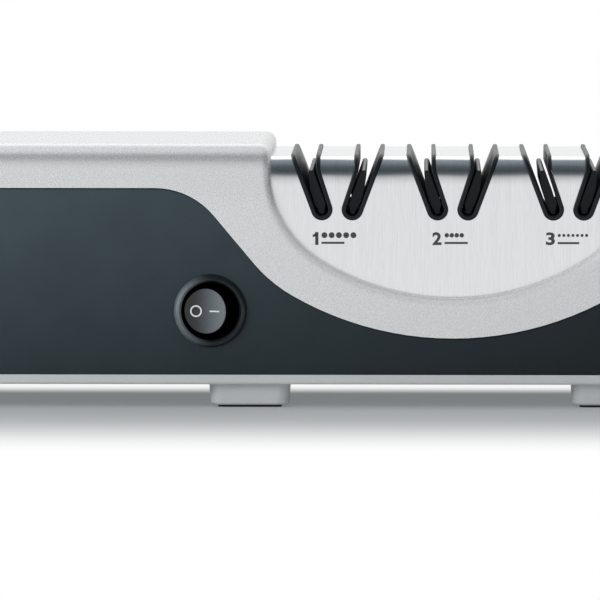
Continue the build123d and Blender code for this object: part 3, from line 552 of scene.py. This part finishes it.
@dataclass(frozen=True)
class Abrasive(Finish):
    """Bonded grit of one size."""

    colour: Colour = (0.25, 0.25, 0.25)
    spark_colour: Colour = (0.6, 0.6, 0.6)
    grit_mm: float = 0.5
    bond_share: float = 2.4
    depth_share: float = 0.3

    def draw(self, graph: NodeGraph) -> None:
        """Draws grains of differing brightness that stand out of their bond.

        Args:
            graph: Emptied node tree.
        """
        where = graph.place()
        grains = graph.cells(where, self.grit_mm)
        bond = graph.noise(where, self.grit_mm * self.bond_share, 4.0)
        tone = graph.blend(graph.span(grains, 0.0, 1.0, 0.55, 1.0), self.colour, self.spark_colour)
        height = graph.calc(grains, bond)
        graph.surface({"Base Color": tone, "Roughness": graph.span(grains, 0.9, 0.4),
                       "Normal": graph.bump(height, self.grit_mm * self.depth_share)})


@dataclass(frozen=True)
class PrintedInk(Finish):
    """Screen-printed ink."""

    colour: Colour = (0.075, 0.078, 0.08)
    thin: float = 1.35
    film_mm: float = 0.4
    film_depth_mm: float = 0.01

    def draw(self, graph: NodeGraph) -> None:
        """Draws ink of slightly uneven thickness.

        Args:
            graph: Emptied node tree.
        """
        film = graph.noise(graph.place(), self.film_mm, 3.0)
        tone = graph.blend(graph.span(film, 0.0, 0.5, 0.45, 0.7), self.colour,
                           shade(self.colour, self.thin))
        graph.surface({"Base Color": tone, "Roughness": graph.span(film, 0.4, 0.55, *ONE_NOISE),
                       "Normal": graph.bump(film, self.film_depth_mm)})


FINISHES: dict[str, Finish] = {
    "cover_paint": SatinPaint("silver_satin_paint"),
    # the charcoal body has painted light and shade: darker towards +X and lighter towards the top
    "body_plastic": MouldedPlastic(
        "charcoal_moulded_plastic", (0.0224, 0.0328, 0.0393), roughness=0.55, grain_mm=0.42,
        depth_mm=0.012, reflectance=0.15, drift=0.5, lift=0.6),
    "tray_plastic": MouldedPlastic(
        "light_grey_plastic", (0.465, 0.492, 0.508), depth_mm=0.006, reflectance=0.4,
        variation=0.03),
    "steel_sheet": BrushedSteel("brushed_steel"),
    "liner_plastic": MouldedPlastic(
        "gloss_black_liner", (0.006, 0.009, 0.0115), roughness=0.36, grain_mm=0.9,
        depth_mm=0.001, reflectance=0.2),
    "leaf_plastic": MouldedPlastic(
        "black_spring_plastic", (0.005, 0.0075, 0.0095), roughness=0.36, grain_mm=0.8,
        depth_mm=0.003, reflectance=0.2),
    "pad_rubber": SoftRubber("foot_rubber"),
    "contact_brass": BareMetal(
        "contact_brass", (0.70, 0.52, 0.24), roughness=0.3, stretch=(1.0, 0.1, 1.0), line_mm=0.3,
        tarnish=(0.45, 0.32, 0.16)),
    "shaft_steel": BareMetal(
        "ground_shaft_steel", (0.56, 0.56, 0.57), roughness=0.22, stretch=(1.0, 0.05, 0.05),
        line_mm=0.25),
    "screw_zinc": BareMetal(
        "zinc_plated_steel", (0.58, 0.59, 0.62), roughness=0.3, line_mm=0.4,
        tarnish=(0.42, 0.43, 0.40)),
    "motor_iron": LaminatedIron("laminated_iron"),
    "copper_wire": EnamelledCopper("enamelled_copper"),
    "bracket_metal": BareMetal(
        "stamped_bracket_metal", (0.52, 0.52, 0.50), roughness=0.36, stretch=(1.0, 0.2, 1.0),
        line_mm=0.6),
    "bush_bronze": BareMetal(
        "sintered_bronze", (0.46, 0.29, 0.14), roughness=0.42, line_mm=0.25,
        tarnish=(0.30, 0.18, 0.09)),
    "fan_plastic": MouldedPlastic(
        "fan_nylon", (0.55, 0.52, 0.44), roughness=0.42, grain_mm=0.6, variation=0.06),
    "coarse_abrasive": Abrasive(
        "coarse_diamond_grit", (0.13, 0.13, 0.14), (0.62, 0.62, 0.64), grit_mm=0.55),
    "fine_abrasive": Abrasive(
        "fine_diamond_grit", (0.20, 0.20, 0.22), (0.60, 0.60, 0.62), grit_mm=0.30),
    "polish_abrasive": Abrasive(
        "polishing_compound", (0.34, 0.20, 0.15), (0.55, 0.42, 0.36), grit_mm=0.22),
    "lead_sleeve": MouldedPlastic(
        "lead_insulation", (0.28, 0.03, 0.025), roughness=0.38, grain_mm=0.6, depth_mm=0.006),
}
BEZEL_FINISH = SwitchShell("gloss_black_bezel")
CAP_FINISH = SwitchCap("gloss_black_cap")
STAGE_INK = PrintedInk("stage_ink", (0.035, 0.037, 0.04))
SWITCH_INK = PrintedInk("switch_ink", (0.62, 0.64, 0.64))


# ---- modelling moves ----
def focus(piece: Piece) -> None:
    """Selects one object alone and makes it active.

    Args:
        piece: The object.
    """
    bpy.ops.object.select_all(action="DESELECT")
    piece.select_set(True)
    bpy.context.view_layer.objects.active = piece


def settle(piece: Piece) -> None:
    """Moves an object's place, turn and scale into its mesh."""
    focus(piece)
    bpy.ops.object.transform_apply(location=True, rotation=True, scale=True)


@contextmanager
def editing(piece: Piece) -> Iterator[None]:
    """Opens a mesh for editing, with all of it selected, and closes it afterwards.

    Args:
        piece: Mesh object.

    Yields:
        Nothing, while the mesh is open.
    """
    focus(piece)
    bpy.ops.object.mode_set(mode="EDIT")
    bpy.ops.mesh.select_all(action="SELECT")
    yield
    bpy.ops.object.mode_set(mode="OBJECT")


def smooth(piece: Piece, angle: float = SHARP_ANGLE) -> None:
    """Shades a piece smooth up to an angle, with its large faces kept flat.

    Args:
        piece: Mesh object.
        angle: Edges that turn by more degrees stay sharp.
    """
    focus(piece)
    bpy.ops.object.shade_smooth_by_angle(angle=math.radians(angle))
    weighted = piece.modifiers.new("weighted_normal", "WEIGHTED_NORMAL")
    weighted.keep_sharp = True
    bpy.ops.object.modifier_apply(modifier=weighted.name)


def skin(node: str, name: str, angle: float = SHARP_ANGLE) -> Piece:
    """Copies a CAD node as one merged, smoothly shaded mesh.

    Args:
        node: CAD node.
        name: Name of the new piece.
        angle: Edges that turn by more degrees stay sharp.

    Returns:
        The new piece.
    """
    mesh = frame["nodes"][node].data.copy()
    piece = bpy.data.objects.new(name, mesh)
    bpy.context.scene.collection.objects.link(piece)
    with editing(piece):
        bpy.ops.mesh.remove_doubles(threshold=WELD_M)
    if mesh.has_custom_normals:
        bpy.ops.mesh.customdata_custom_splitnormals_clear()
    smooth(piece, angle)
    return piece


def join(parts: list[Piece], name: str) -> Piece:
    """Joins meshes into one.

    Args:
        parts: Mesh objects.
        name: Name of the joined object.

    Returns:
        The joined object.
    """
    focus(parts[0])
    for part in parts:
        part.select_set(True)
    bpy.ops.object.join()
    parts[0].name = name
    return parts[0]


def add_flat(primitive: Callable[..., set[str]], place_mm: Triple, thick_mm: float,
             scale: Triple = (1.0, 1.0, 1.0), **settings: object) -> Piece:
    """Adds a mesh that faces the front.

    Args:
        primitive: Operator that adds the flat mesh.
        place_mm: Middle of its front face.
        thick_mm: Thickness, zero for a sheet.
        scale: Scale on each axis.
        settings: Further settings of the operator.

    Returns:
        The mesh.
    """
    bpy.ops.object.select_all(action="DESELECT")
    primitive(location=[c * MM for c in place_mm], rotation=UPRIGHT, **settings)
    piece = bpy.context.object
    piece.scale = scale
    settle(piece)
    if thick_mm:
        thicken(piece, thick_mm)
    return piece


def disc(place_mm: Triple, thick_mm: float, radius_mm: float) -> Piece:
    """A round plate that faces the front."""
    return add_flat(bpy.ops.mesh.primitive_circle_add, place_mm, thick_mm,
                    vertices=DISC_CORNERS, radius=radius_mm * MM, fill_type="NGON")


def plate(place_mm: Triple, thick_mm: float, width_mm: float, height_mm: float) -> Piece:
    """An upright plate that faces the front."""
    scale = (width_mm * MM, height_mm * MM, 1.0)
    return add_flat(bpy.ops.mesh.primitive_plane_add, place_mm, thick_mm, scale, size=1.0)


def thicken(sheet: Piece, thick_mm: float) -> None:
    """Extrudes a sheet that faces the front backwards, and turns its faces outward."""
    with editing(sheet):
        bpy.ops.mesh.extrude_region_move(TRANSFORM_OT_translate={"value": (0, thick_mm * MM, 0)})
        bpy.ops.mesh.select_all(action="SELECT")
        bpy.ops.mesh.normals_make_consistent(inside=False)


def glyph(text: str, x_mm: Pair, z_mm: Pair, y_mm: float, thick_mm: float) -> Piece:
    """A bold printed character that fills a box and faces the front.

    Args:
        text: The character.
        x_mm: Left and right side of the box.
        z_mm: Bottom and top of the box.
        y_mm: Front face.
        thick_mm: Thickness of the print.

    Returns:
        The character's mesh.
    """
    bpy.ops.object.select_all(action="DESELECT")
    bpy.ops.object.text_add(rotation=UPRIGHT)
    letter = bpy.context.object
    letter.data.body = text
    letter.data.offset = LETTER_BOLDNESS
    letter.data.extrude = LETTER_DEPTH
    letter.data.resolution_u = LETTER_STEPS
    bpy.ops.object.convert(target="MESH")
    letter = bpy.context.object
    settle(letter)
    corners = [vertex.co for vertex in letter.data.vertices]
    lows = [min(corner[i] for corner in corners) for i in range(3)]
    highs = [max(corner[i] for corner in corners) for i in range(3)]
    starts = (x_mm[0] * MM, y_mm * MM, z_mm[0] * MM)
    ends = (x_mm[1] * MM, (y_mm + thick_mm) * MM, z_mm[1] * MM)
    spans = list(zip(lows, highs, starts, ends))
    for vertex in letter.data.vertices:
        vertex.co = [start + (at - low) / (high - low) * (end - start)
                     for at, (low, high, start, end) in zip(vertex.co, spans)]
    return letter


# ---- sub-assemblies ----
@dataclass
class SubAssembly:
    """A group of pieces that are built and dressed together."""

    made: list[Piece] = field(default_factory=list, init=False)

    def body_of(self, node: str) -> str:
        """The body that a CAD node belongs to."""
        groups = frame["record"]["behaviour"]["bodies"]
        return next(body for body, members in groups.items() if node in members)

    def slot_of(self, node: str) -> str:
        """The record's material slot of a CAD node."""
        return next(s["material_slot"] for s in frame["record"]["subparts"] if s["node"] == node)

    def dress(self, node: str) -> None:
        """Gives a CAD node that stays the finish of its slot.

        Args:
            node: CAD node.
        """
        piece = frame["nodes"][node]
        piece.data.materials.clear()
        piece.data.materials.append(FINISHES[self.slot_of(node)].material())
        self.made.append(piece)

    def reskin(self, node: str, angle: float = SHARP_ANGLE, finish: Finish | None = None) -> Piece:
        """Replaces a CAD node by a smoothly shaded skin of the same shape.

        Args:
            node: CAD node.
            angle: Edges that turn by more degrees stay sharp.
            finish: Its finish, where it isn't the slot's.

        Returns:
            The skin.
        """
        piece = skin(node, node + "_skin", angle)
        self.fit(piece, self.body_of(node), self.slot_of(node), finish)
        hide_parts(node)
        return piece

    def fit(self, piece: Piece, body: str, slot: str, finish: Finish | None = None) -> None:
        """Fits a new piece to a body and gives it a finish.

        Args:
            piece: The new piece.
            body: CAD body that it rides on.
            slot: Material slot of the record.
            finish: Its finish, where it isn't the slot's.
        """
        piece.data.materials.clear()
        piece.data.materials.append((finish or FINISHES[slot]).material())
        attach(piece, body)
        self.made.append(piece)

    def report(self) -> None:
        """Logs each piece by its name."""
        for piece in self.made:
            log.info("%s: %s", type(self).__name__, piece.name)


@dataclass(frozen=True)
class StagePrint:
    """Layout of a stage's printed marks along X, in millimetres."""

    numeral: Pair
    dots_start: float
    dots: int
    dot_radius: float
    dot_pitch: float
    line_length: float


class Stage(Enum):
    """The three stages with their printed marks."""

    COARSE = StagePrint((12.45, 14.75), 15.8, 5, 1.05, 2.55, 8.1)
    FINE = StagePrint((54.8, 58.05), 59.1, 4, 0.8, 1.75, 8.2)
    POLISH = StagePrint((94.75, 97.9), 98.9, 7, 0.55, 1.6, 7.6)

    @property
    def numeral(self) -> str:
        """The stage's number."""
        return str(list(Stage).index(self) + 1)

    @property
    def label(self) -> str:
        """The stage's name as pieces carry it."""
        return self.name.lower()


@dataclass
class Housing(SubAssembly):
    """Silver cover, dark body ring, tray and the cord's gland."""

    roll_angle: float = 30.0

    def build(self) -> None:
        """Builds the outer shells."""
        for node in ("top_cover", "body_shell", "base_plate"):
            self.reskin(node, self.roll_angle)
        self.reskin("cord_gland")


@dataclass
class Feet(SubAssembly):
    """Six feet with their rubber pads."""

    def build(self) -> None:
        """Builds feet and pads."""
        for end in ("front", "rear"):
            for place in ("left", "middle", "right"):
                self.reskin(f"foot_{end}_{place}")
        self.dress("foot_pads")


@dataclass
class SteelSaddle(SubAssembly):
    """Bent steel sheet with the printed stage marks."""

    bend_angle: float = 25.0
    front_mm: float = -44.0
    print_mm: float = 0.04
    proud_mm: float = 0.015
    top_mm: float = 61.6
    bottom_mm: float = 57.05
    dots_mm: float = 60.5
    line_mm: float = 57.8
    line_height_mm: float = 0.75
    stem_mm: float = 1.15
    flag_place: Pair = (0.62, 0.25)  # from the right and the top, against the numeral's size
    flag_size: Pair = (1.15, 0.72)  # against the stem's width
    flag_turn: float = 35.0

    def build(self) -> None:
        """Builds the steel sheet and the marks of the three stages."""
        self.reskin("steel_cover", self.bend_angle)
        for stage in Stage:
            self.mark(stage)

    def mark(self, stage: Stage) -> None:
        """Prints a stage's numeral, its grit dots and the line below them.

        Args:
            stage: The stage.
        """
        layout = stage.value
        face = self.front_mm - self.proud_mm
        if stage is Stage.COARSE:
            parts = self.one(*layout.numeral, face)
        else:
            parts = [glyph(stage.numeral, layout.numeral, (self.bottom_mm, self.top_mm), face,
                           self.print_mm)]
        for step in range(layout.dots):
            middle = layout.dots_start + layout.dot_radius + step * layout.dot_pitch
            parts.append(disc((middle, face, self.dots_mm), self.print_mm, layout.dot_radius))
        middle = layout.dots_start + layout.line_length / 2
        parts.append(plate((middle, face, self.line_mm), self.print_mm, layout.line_length,
                           self.line_height_mm))
        marks = join(parts, f"stage_mark_{stage.label}")
        self.fit(marks, "root", "steel_sheet", STAGE_INK)

    def one(self, left: float, right: float, face: float) -> list[Piece]:
        """The numeral 1, as a stem and a slanted flag.

        Args:
            left: Left side of the numeral.
            right: Right side of the numeral.
            face: Front face of the print.

        Returns:
            The two strokes.
        """
        height = self.top_mm - self.bottom_mm
        middle = (right - self.stem_mm / 2, face, (self.top_mm + self.bottom_mm) / 2)
        stem = plate(middle, self.print_mm, self.stem_mm, height)
        x = right - self.flag_place[0] * (right - left)
        z = self.top_mm - self.flag_place[1] * height
        flag = plate((x, face, z), self.print_mm,
                     *(share * self.stem_mm for share in self.flag_size))
        with editing(flag):
            bpy.ops.transform.rotate(value=math.radians(self.flag_turn), orient_axis="Y",
                                     center_override=(x * MM, face * MM, z * MM))
        return [stem, flag]


@dataclass
class KnifeSlots(SubAssembly):
    """Slot liners and the spring leaves inside them."""

    bend_angle: float = 40.0

    def build(self) -> None:
        """Builds the liners and leaves."""
        for stage in Stage:
            for side in ("left", "right"):
                self.reskin(f"slot_liner_{stage.label}_{side}", self.bend_angle)
                self.reskin(f"guide_spring_{stage.label}_{side}", self.bend_angle)


@dataclass
class RockerSwitch(SubAssembly):
    """Round switch: bezel with well, rocking cap with its two marks, contacts and leads."""

    edge_angle: float = 35.0
    ring_x_mm: float = -28.1
    ring_radius_mm: float = 2.07
    ring_corners: int = 64
    line_mm: float = 0.5
    bar_x_mm: Pair = (-23.3, -19.9)
    bar_cuts: int = 7
    mark_z_mm: float = 34.3
    start_y_mm: float = -60.0
    proud_mm: float = 0.03

    def build(self) -> None:
        """Builds the switch."""
        self.reskin("switch_body", self.edge_angle, BEZEL_FINISH)
        cap = self.reskin("switch_rocker", self.edge_angle, CAP_FINISH)
        self.mark(cap, self.ring(), "rocker_mark_off")
        self.mark(cap, self.bar(), "rocker_mark_on")
        self.dress("switch_terminals")
        self.dress("switch_leads")

    def ring(self) -> Piece:
        """The OFF mark, a flat ring with a row of corners in its middle, to be laid on the cap."""
        centre_mm = (self.ring_x_mm, self.start_y_mm, self.mark_z_mm)
        radius = self.ring_radius_mm
        ring = add_flat(bpy.ops.mesh.primitive_circle_add, centre_mm, 0.0,
                        vertices=self.ring_corners, radius=radius * MM, fill_type="NOTHING")
        with editing(ring):
            for inner in (self.ring_radius_mm - self.line_mm / 2,
                          self.ring_radius_mm - self.line_mm):
                bpy.ops.mesh.extrude_edges_move()
                bpy.ops.transform.resize(value=(inner / radius, 1.0, inner / radius),
                                         center_override=[c * MM for c in centre_mm])
                radius = inner
        return ring

    def bar(self) -> Piece:
        """The ON mark, a flat bar cut into short lengths, to be laid on the cap."""
        left, right = self.bar_x_mm
        middle = ((left + right) / 2, self.start_y_mm, self.mark_z_mm)
        bar = plate(middle, 0.0, right - left, self.line_mm)
        with editing(bar):
            bpy.ops.mesh.subdivide(number_cuts=self.bar_cuts)
        return bar

    def mark(self, cap: Piece, mark: Piece, name: str) -> None:
        """Lays a flat mark on the cap's hollow face and gives it a thickness.

        Args:
            cap: The switch's cap.
            mark: Flat mark in front of the cap.
            name: Name of the piece.
        """
        tree = BVHTree.FromObject(cap, bpy.context.evaluated_depsgraph_get())
        for vertex in mark.data.vertices:
            hit = tree.ray_cast(vertex.co, Vector((0, 1, 0)))[0]
            vertex.co = hit - Vector((0, self.proud_mm * MM, 0))
        mark.name = name
        thicken(mark, 2 * self.proud_mm)
        bpy.ops.object.shade_smooth_by_angle(angle=math.radians(self.edge_angle))
        self.fit(mark, "rocker", "switch_plastic", SWITCH_INK)


@dataclass
class Drive(SubAssembly):
    """Motor, spindle, discs and what carries them."""

    kept: tuple[str, ...] = (
        "spindle_shaft", "drive_pins", "shaft_clips", "shaft_coupling", "set_screws",
        "spindle_bracket_left", "spindle_bracket_right", "spindle_bearings", "motor_stator",
        "motor_windings", "motor_bracket_left", "motor_bracket_right", "motor_bearings",
        "motor_mounts", "motor_rotor", "motor_shaft", "cooling_fan",
    )
    travel_mm: float = 1.03

    def build(self) -> None:
        """Dresses the drive's pieces, skins the discs and halves their springs."""
        for node in self.kept:
            self.dress(node)
        for stage in Stage:
            for side, way in (("left", -1.0), ("right", 1.0)):
                self.reskin(f"{stage.label}_disc_{side}")
                self.half_spring(stage.label, side, way)

    def half_spring(self, stage: str, side: str, way: float) -> None:
        """Builds one half of a disc spring, cut off at the spring's middle and carried by the
        spring's body.

        Args:
            stage: Name of the stage.
            side: Side of the stage.
            way: Direction of that side along X.
        """
        node = f"disc_spring_{stage}"
        low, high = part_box(node)
        middle = tuple((a + b) / 2 for a, b in zip(low, high))
        half = skin(node, f"{node}_{side}")
        with editing(half):
            bpy.ops.mesh.bisect(plane_co=middle, plane_no=(way, 0.0, 0.0), use_fill=True,
                                clear_inner=True)
        self.fit(half, self.body_of(node), self.slot_of(node))
        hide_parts(node)
        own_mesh(half)


@dataclass
class Fasteners(SubAssembly):
    """Screws and bolts."""

    kept: tuple[str, ...] = ("motor_bolts", "motor_mount_screws", "bracket_screws",
                             "housing_screws")

    def build(self) -> None:
        """Dresses the fasteners."""
        for node in self.kept:
            self.dress(node)


# ---- studio ----
@dataclass(frozen=True)
class Lamp:
    """A square lamp: its middle and its side in metres, and its power in watts."""

    name: str
    place: Triple
    size: float
    watts: float


@dataclass
class Studio:
    """Camera, light and floor.

    The bands are pairs of an angle in degrees and the studio's brightness there. Zero is level
    to the front, 90 straight up, 180 level to the rear and -90 straight down.
    """

    camera_mm: Triple = (52.0, -2427.0, 213.0)
    aim_mm: Triple = (8.4, -52.0, 38.2)
    lens_mm: float = 407.2
    sensor_mm: float = 36.0
    sight_m: Pair = (0.1, 30.0)
    lamps: tuple[Lamp, ...] = (
        Lamp("key_light", (-0.42, -0.47, 0.36), 0.3, 1.9),
        Lamp("top_light", (0.1, 0.2, 1.6), 1.0, 10.0),
    )
    lamp_aim_m: Triple = (0.0, 0.0, 0.05)
    bands: tuple[Pair, ...] = (
        (-180, 0.94), (-20, 0.97), (2, 0.97), (14, 0.86), (26, 0.72), (36, 0.5), (46, 0.15),
        (60, 0.07), (80, 0.12), (100, 0.27), (120, 0.36), (130, 1.4), (143, 1.9), (156, 1.3),
        (168, 0.95), (180, 0.94),
    )
    brightest: float = 2.0
    cool_degrees: Pair = (40.0, 125.0)
    cool_tint: Colour = (0.84, 0.99, 1.05)
    sky_level: float = 0.6
    window_level: float = 2.0  # added at the left
    window_x: Pair = (-0.95, -0.4)
    dim_share: float = 0.4  # what is left at the right
    dim_x: Pair = (0.3, 0.85)
    floor_half_mm: float = 1500.0
    object_half_mm: Triple = (150.0, 55.0, 0.0)
    fade_mm: Pair = (25.0, 165.0)
    # painted light: share of white laid over the floor, shadow and all, just behind the object
    rear_fade: float = 0.9
    rear_fade_mm: Pair = (5.0, 40.0)
    speckle_mm: float = 3.0
    lighting_tones: tuple[Colour, Colour] = ((0.79, 0.79, 0.79), (0.81, 0.81, 0.81))
    # painted shadow: darker floor tones near the object
    shadow_tones: tuple[Colour, Colour] = ((0.20, 0.205, 0.21), (0.21, 0.215, 0.22))
    # painted light: the floor near the object glows, though it is no lamp
    glow_colour: Colour = (0.92, 0.98, 1.0)
    glow_level: float = 0.21

    def build(self) -> None:
        """Builds the studio."""
        self.camera()
        self.sky()
        for lamp in self.lamps:
            self.hang(lamp)
        self.floor()

    def camera(self) -> None:
        """Places the camera."""
        data = bpy.data.cameras.new("camera")
        data.lens = self.lens_mm
        data.sensor_width = self.sensor_mm
        data.clip_start, data.clip_end = self.sight_m
        camera = bpy.data.objects.new("camera", data)
        bpy.context.scene.collection.objects.link(camera)
        camera.location = Vector(self.camera_mm) * MM
        aim = (Vector(self.aim_mm) - Vector(self.camera_mm)).to_track_quat("-Z", "Y")
        camera.rotation_euler = aim.to_euler()
        bpy.context.scene.camera = camera

    def sky(self) -> None:
        """Draws a white backdrop, a soft level for matt surfaces and bands for glossy ones."""
        world = bpy.data.worlds.new("studio")
        bpy.context.scene.world = world
        world.use_nodes = True
        graph = NodeGraph(world.node_tree)
        direction = graph.add("TexCoord").outputs["Generated"]
        across = graph.axis(direction, 0)
        forward = graph.calc(graph.axis(direction, 1), -1.0, "MULTIPLY")
        rise = graph.calc(graph.axis(direction, 2), forward, "ARCTAN2")
        turn = graph.span(rise, 0.0, 1.0, -math.pi, math.pi)
        bands = graph.add("ValToRGB", {0: turn})
        self.fill(bands.color_ramp)
        window = graph.span(across, self.window_level, 0.0, *self.window_x, smooth=True)
        full = graph.span(across, self.brightest, self.brightest * self.dim_share, *self.dim_x,
                          smooth=True)
        level = graph.vector("ADD", graph.scale(bands.outputs[0], full), window)
        banded = graph.add("Background", {"Color": level})
        plain = graph.add("Background", {"Color": rgba(WHITE), "Strength": self.sky_level})
        white = graph.add("Background", {"Color": rgba(WHITE)})
        path = graph.add("LightPath")
        lit = graph.add("MixShader", {0: graph.sharp_ray(path), 1: plain.outputs[0],
                                      2: banded.outputs[0]})
        seen = graph.add("MixShader", {0: path.outputs["Is Camera Ray"], 1: lit.outputs[0],
                                       2: white.outputs[0]})
        graph.add("OutputWorld", {"Surface": seen.outputs[0]})

    def fill(self, ramp: bpy.types.ColorRamp) -> None:
        """Fills a ramp with the bands, as shares of the brightest level that it can hold.

        Args:
            ramp: Ramp over the whole turn from -180 to 180 degrees.
        """
        while len(ramp.elements) > 1:
            ramp.elements.remove(ramp.elements[-1])
        for number, (degrees, level) in enumerate(self.bands):
            spot = (degrees + 180) / 360
            stop = ramp.elements[0] if number == 0 else ramp.elements.new(spot)
            stop.position = spot
            low, high = self.cool_degrees
            tint = self.cool_tint if low < degrees < high else WHITE
            stop.color = rgba(tuple(level * channel / self.brightest for channel in tint))

    def hang(self, lamp: Lamp) -> None:
        """Hangs up a lamp that faces the object and isn't mirrored.

        Args:
            lamp: The lamp.
        """
        data = bpy.data.lights.new(lamp.name, "AREA")
        data.size = lamp.size
        data.energy = lamp.watts
        light = bpy.data.objects.new(lamp.name, data)
        bpy.context.scene.collection.objects.link(light)
        light.location = lamp.place
        light.visible_glossy = False
        aim = (Vector(self.lamp_aim_m) - Vector(lamp.place)).to_track_quat("-Z", "Y")
        light.rotation_euler = aim.to_euler()

    def floor(self) -> None:
        """Adds the pale floor."""
        bpy.ops.object.select_all(action="DESELECT")
        bpy.ops.mesh.primitive_plane_add(size=2 * self.floor_half_mm * MM)
        floor = bpy.context.object
        floor.name = "floor"
        material = bpy.data.materials.new("pale_floor")
        material.use_nodes = True
        self.pave(NodeGraph(material.node_tree))
        floor.data.materials.append(material)

    def pave(self, graph: NodeGraph) -> None:
        """Draws a floor with the object's shadow, a painted shadow and painted glow near the
        object, and painted white light just behind it; far away it turns white.

        Args:
            graph: Emptied node tree.
        """
        place = graph.vector("ABSOLUTE", graph.add("TexCoord").outputs["Object"])
        beyond = graph.vector("SUBTRACT", place, tuple(c * MM for c in self.object_half_mm))
        clear = graph.vector("MAXIMUM", beyond, (0.0, 0.0, 0.0))
        away = graph.vector("LENGTH", clear, output="Value")
        around = graph.span_mm(away, 0.0, 1.0, self.fade_mm)
        depth = graph.axis(graph.place(), 1)
        # painted light: white laid over the floor just behind the object
        behind = graph.span_mm(depth, 0.0, self.rear_fade, self.rear_fade_mm)
        fade = graph.calc(around, behind, "MAXIMUM")
        speckle = graph.noise(graph.place(), self.speckle_mm, 3.0)
        matt = graph.add("BsdfDiffuse", {"Color": graph.blend(speckle, *self.lighting_tones)})
        # painted shadow near the object, and a painted glow there
        painted_shadow_floor = graph.add("BsdfDiffuse", {"Color": graph.blend(speckle, *self.shadow_tones)})
        painted_glow = graph.add("Emission", {"Color": rgba(self.glow_colour),
                                      "Strength": self.glow_level})
        near = graph.add("AddShader", {0: painted_shadow_floor.outputs[0], 1: painted_glow.outputs[0]})
        white = graph.add("Emission")
        path = graph.add("LightPath")
        seen = graph.calc(graph.sharp_ray(path), path.outputs["Is Camera Ray"], "MAXIMUM")
        shown = graph.add("MixShader", {0: fade, 1: near.outputs[0], 2: white.outputs[0]})
        mixed = graph.add("MixShader", {0: seen, 1: matt.outputs[0], 2: shown.outputs[0]})
        graph.add("OutputMaterial", {"Surface": mixed.outputs[0]})


def main() -> None:
    """Builds the scene in order and logs each piece."""
    logging.basicConfig(level=logging.INFO, format="%(message)s")
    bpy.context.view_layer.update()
    for group in (Housing(), Feet(), SteelSaddle(), KnifeSlots(), RockerSwitch(), Drive(),
                  Fasteners()):
        group.build()
        group.report()
    bpy.context.scene.view_settings.view_transform = "Standard"
    Studio().build()


if __name__ == "__main__":
    main()
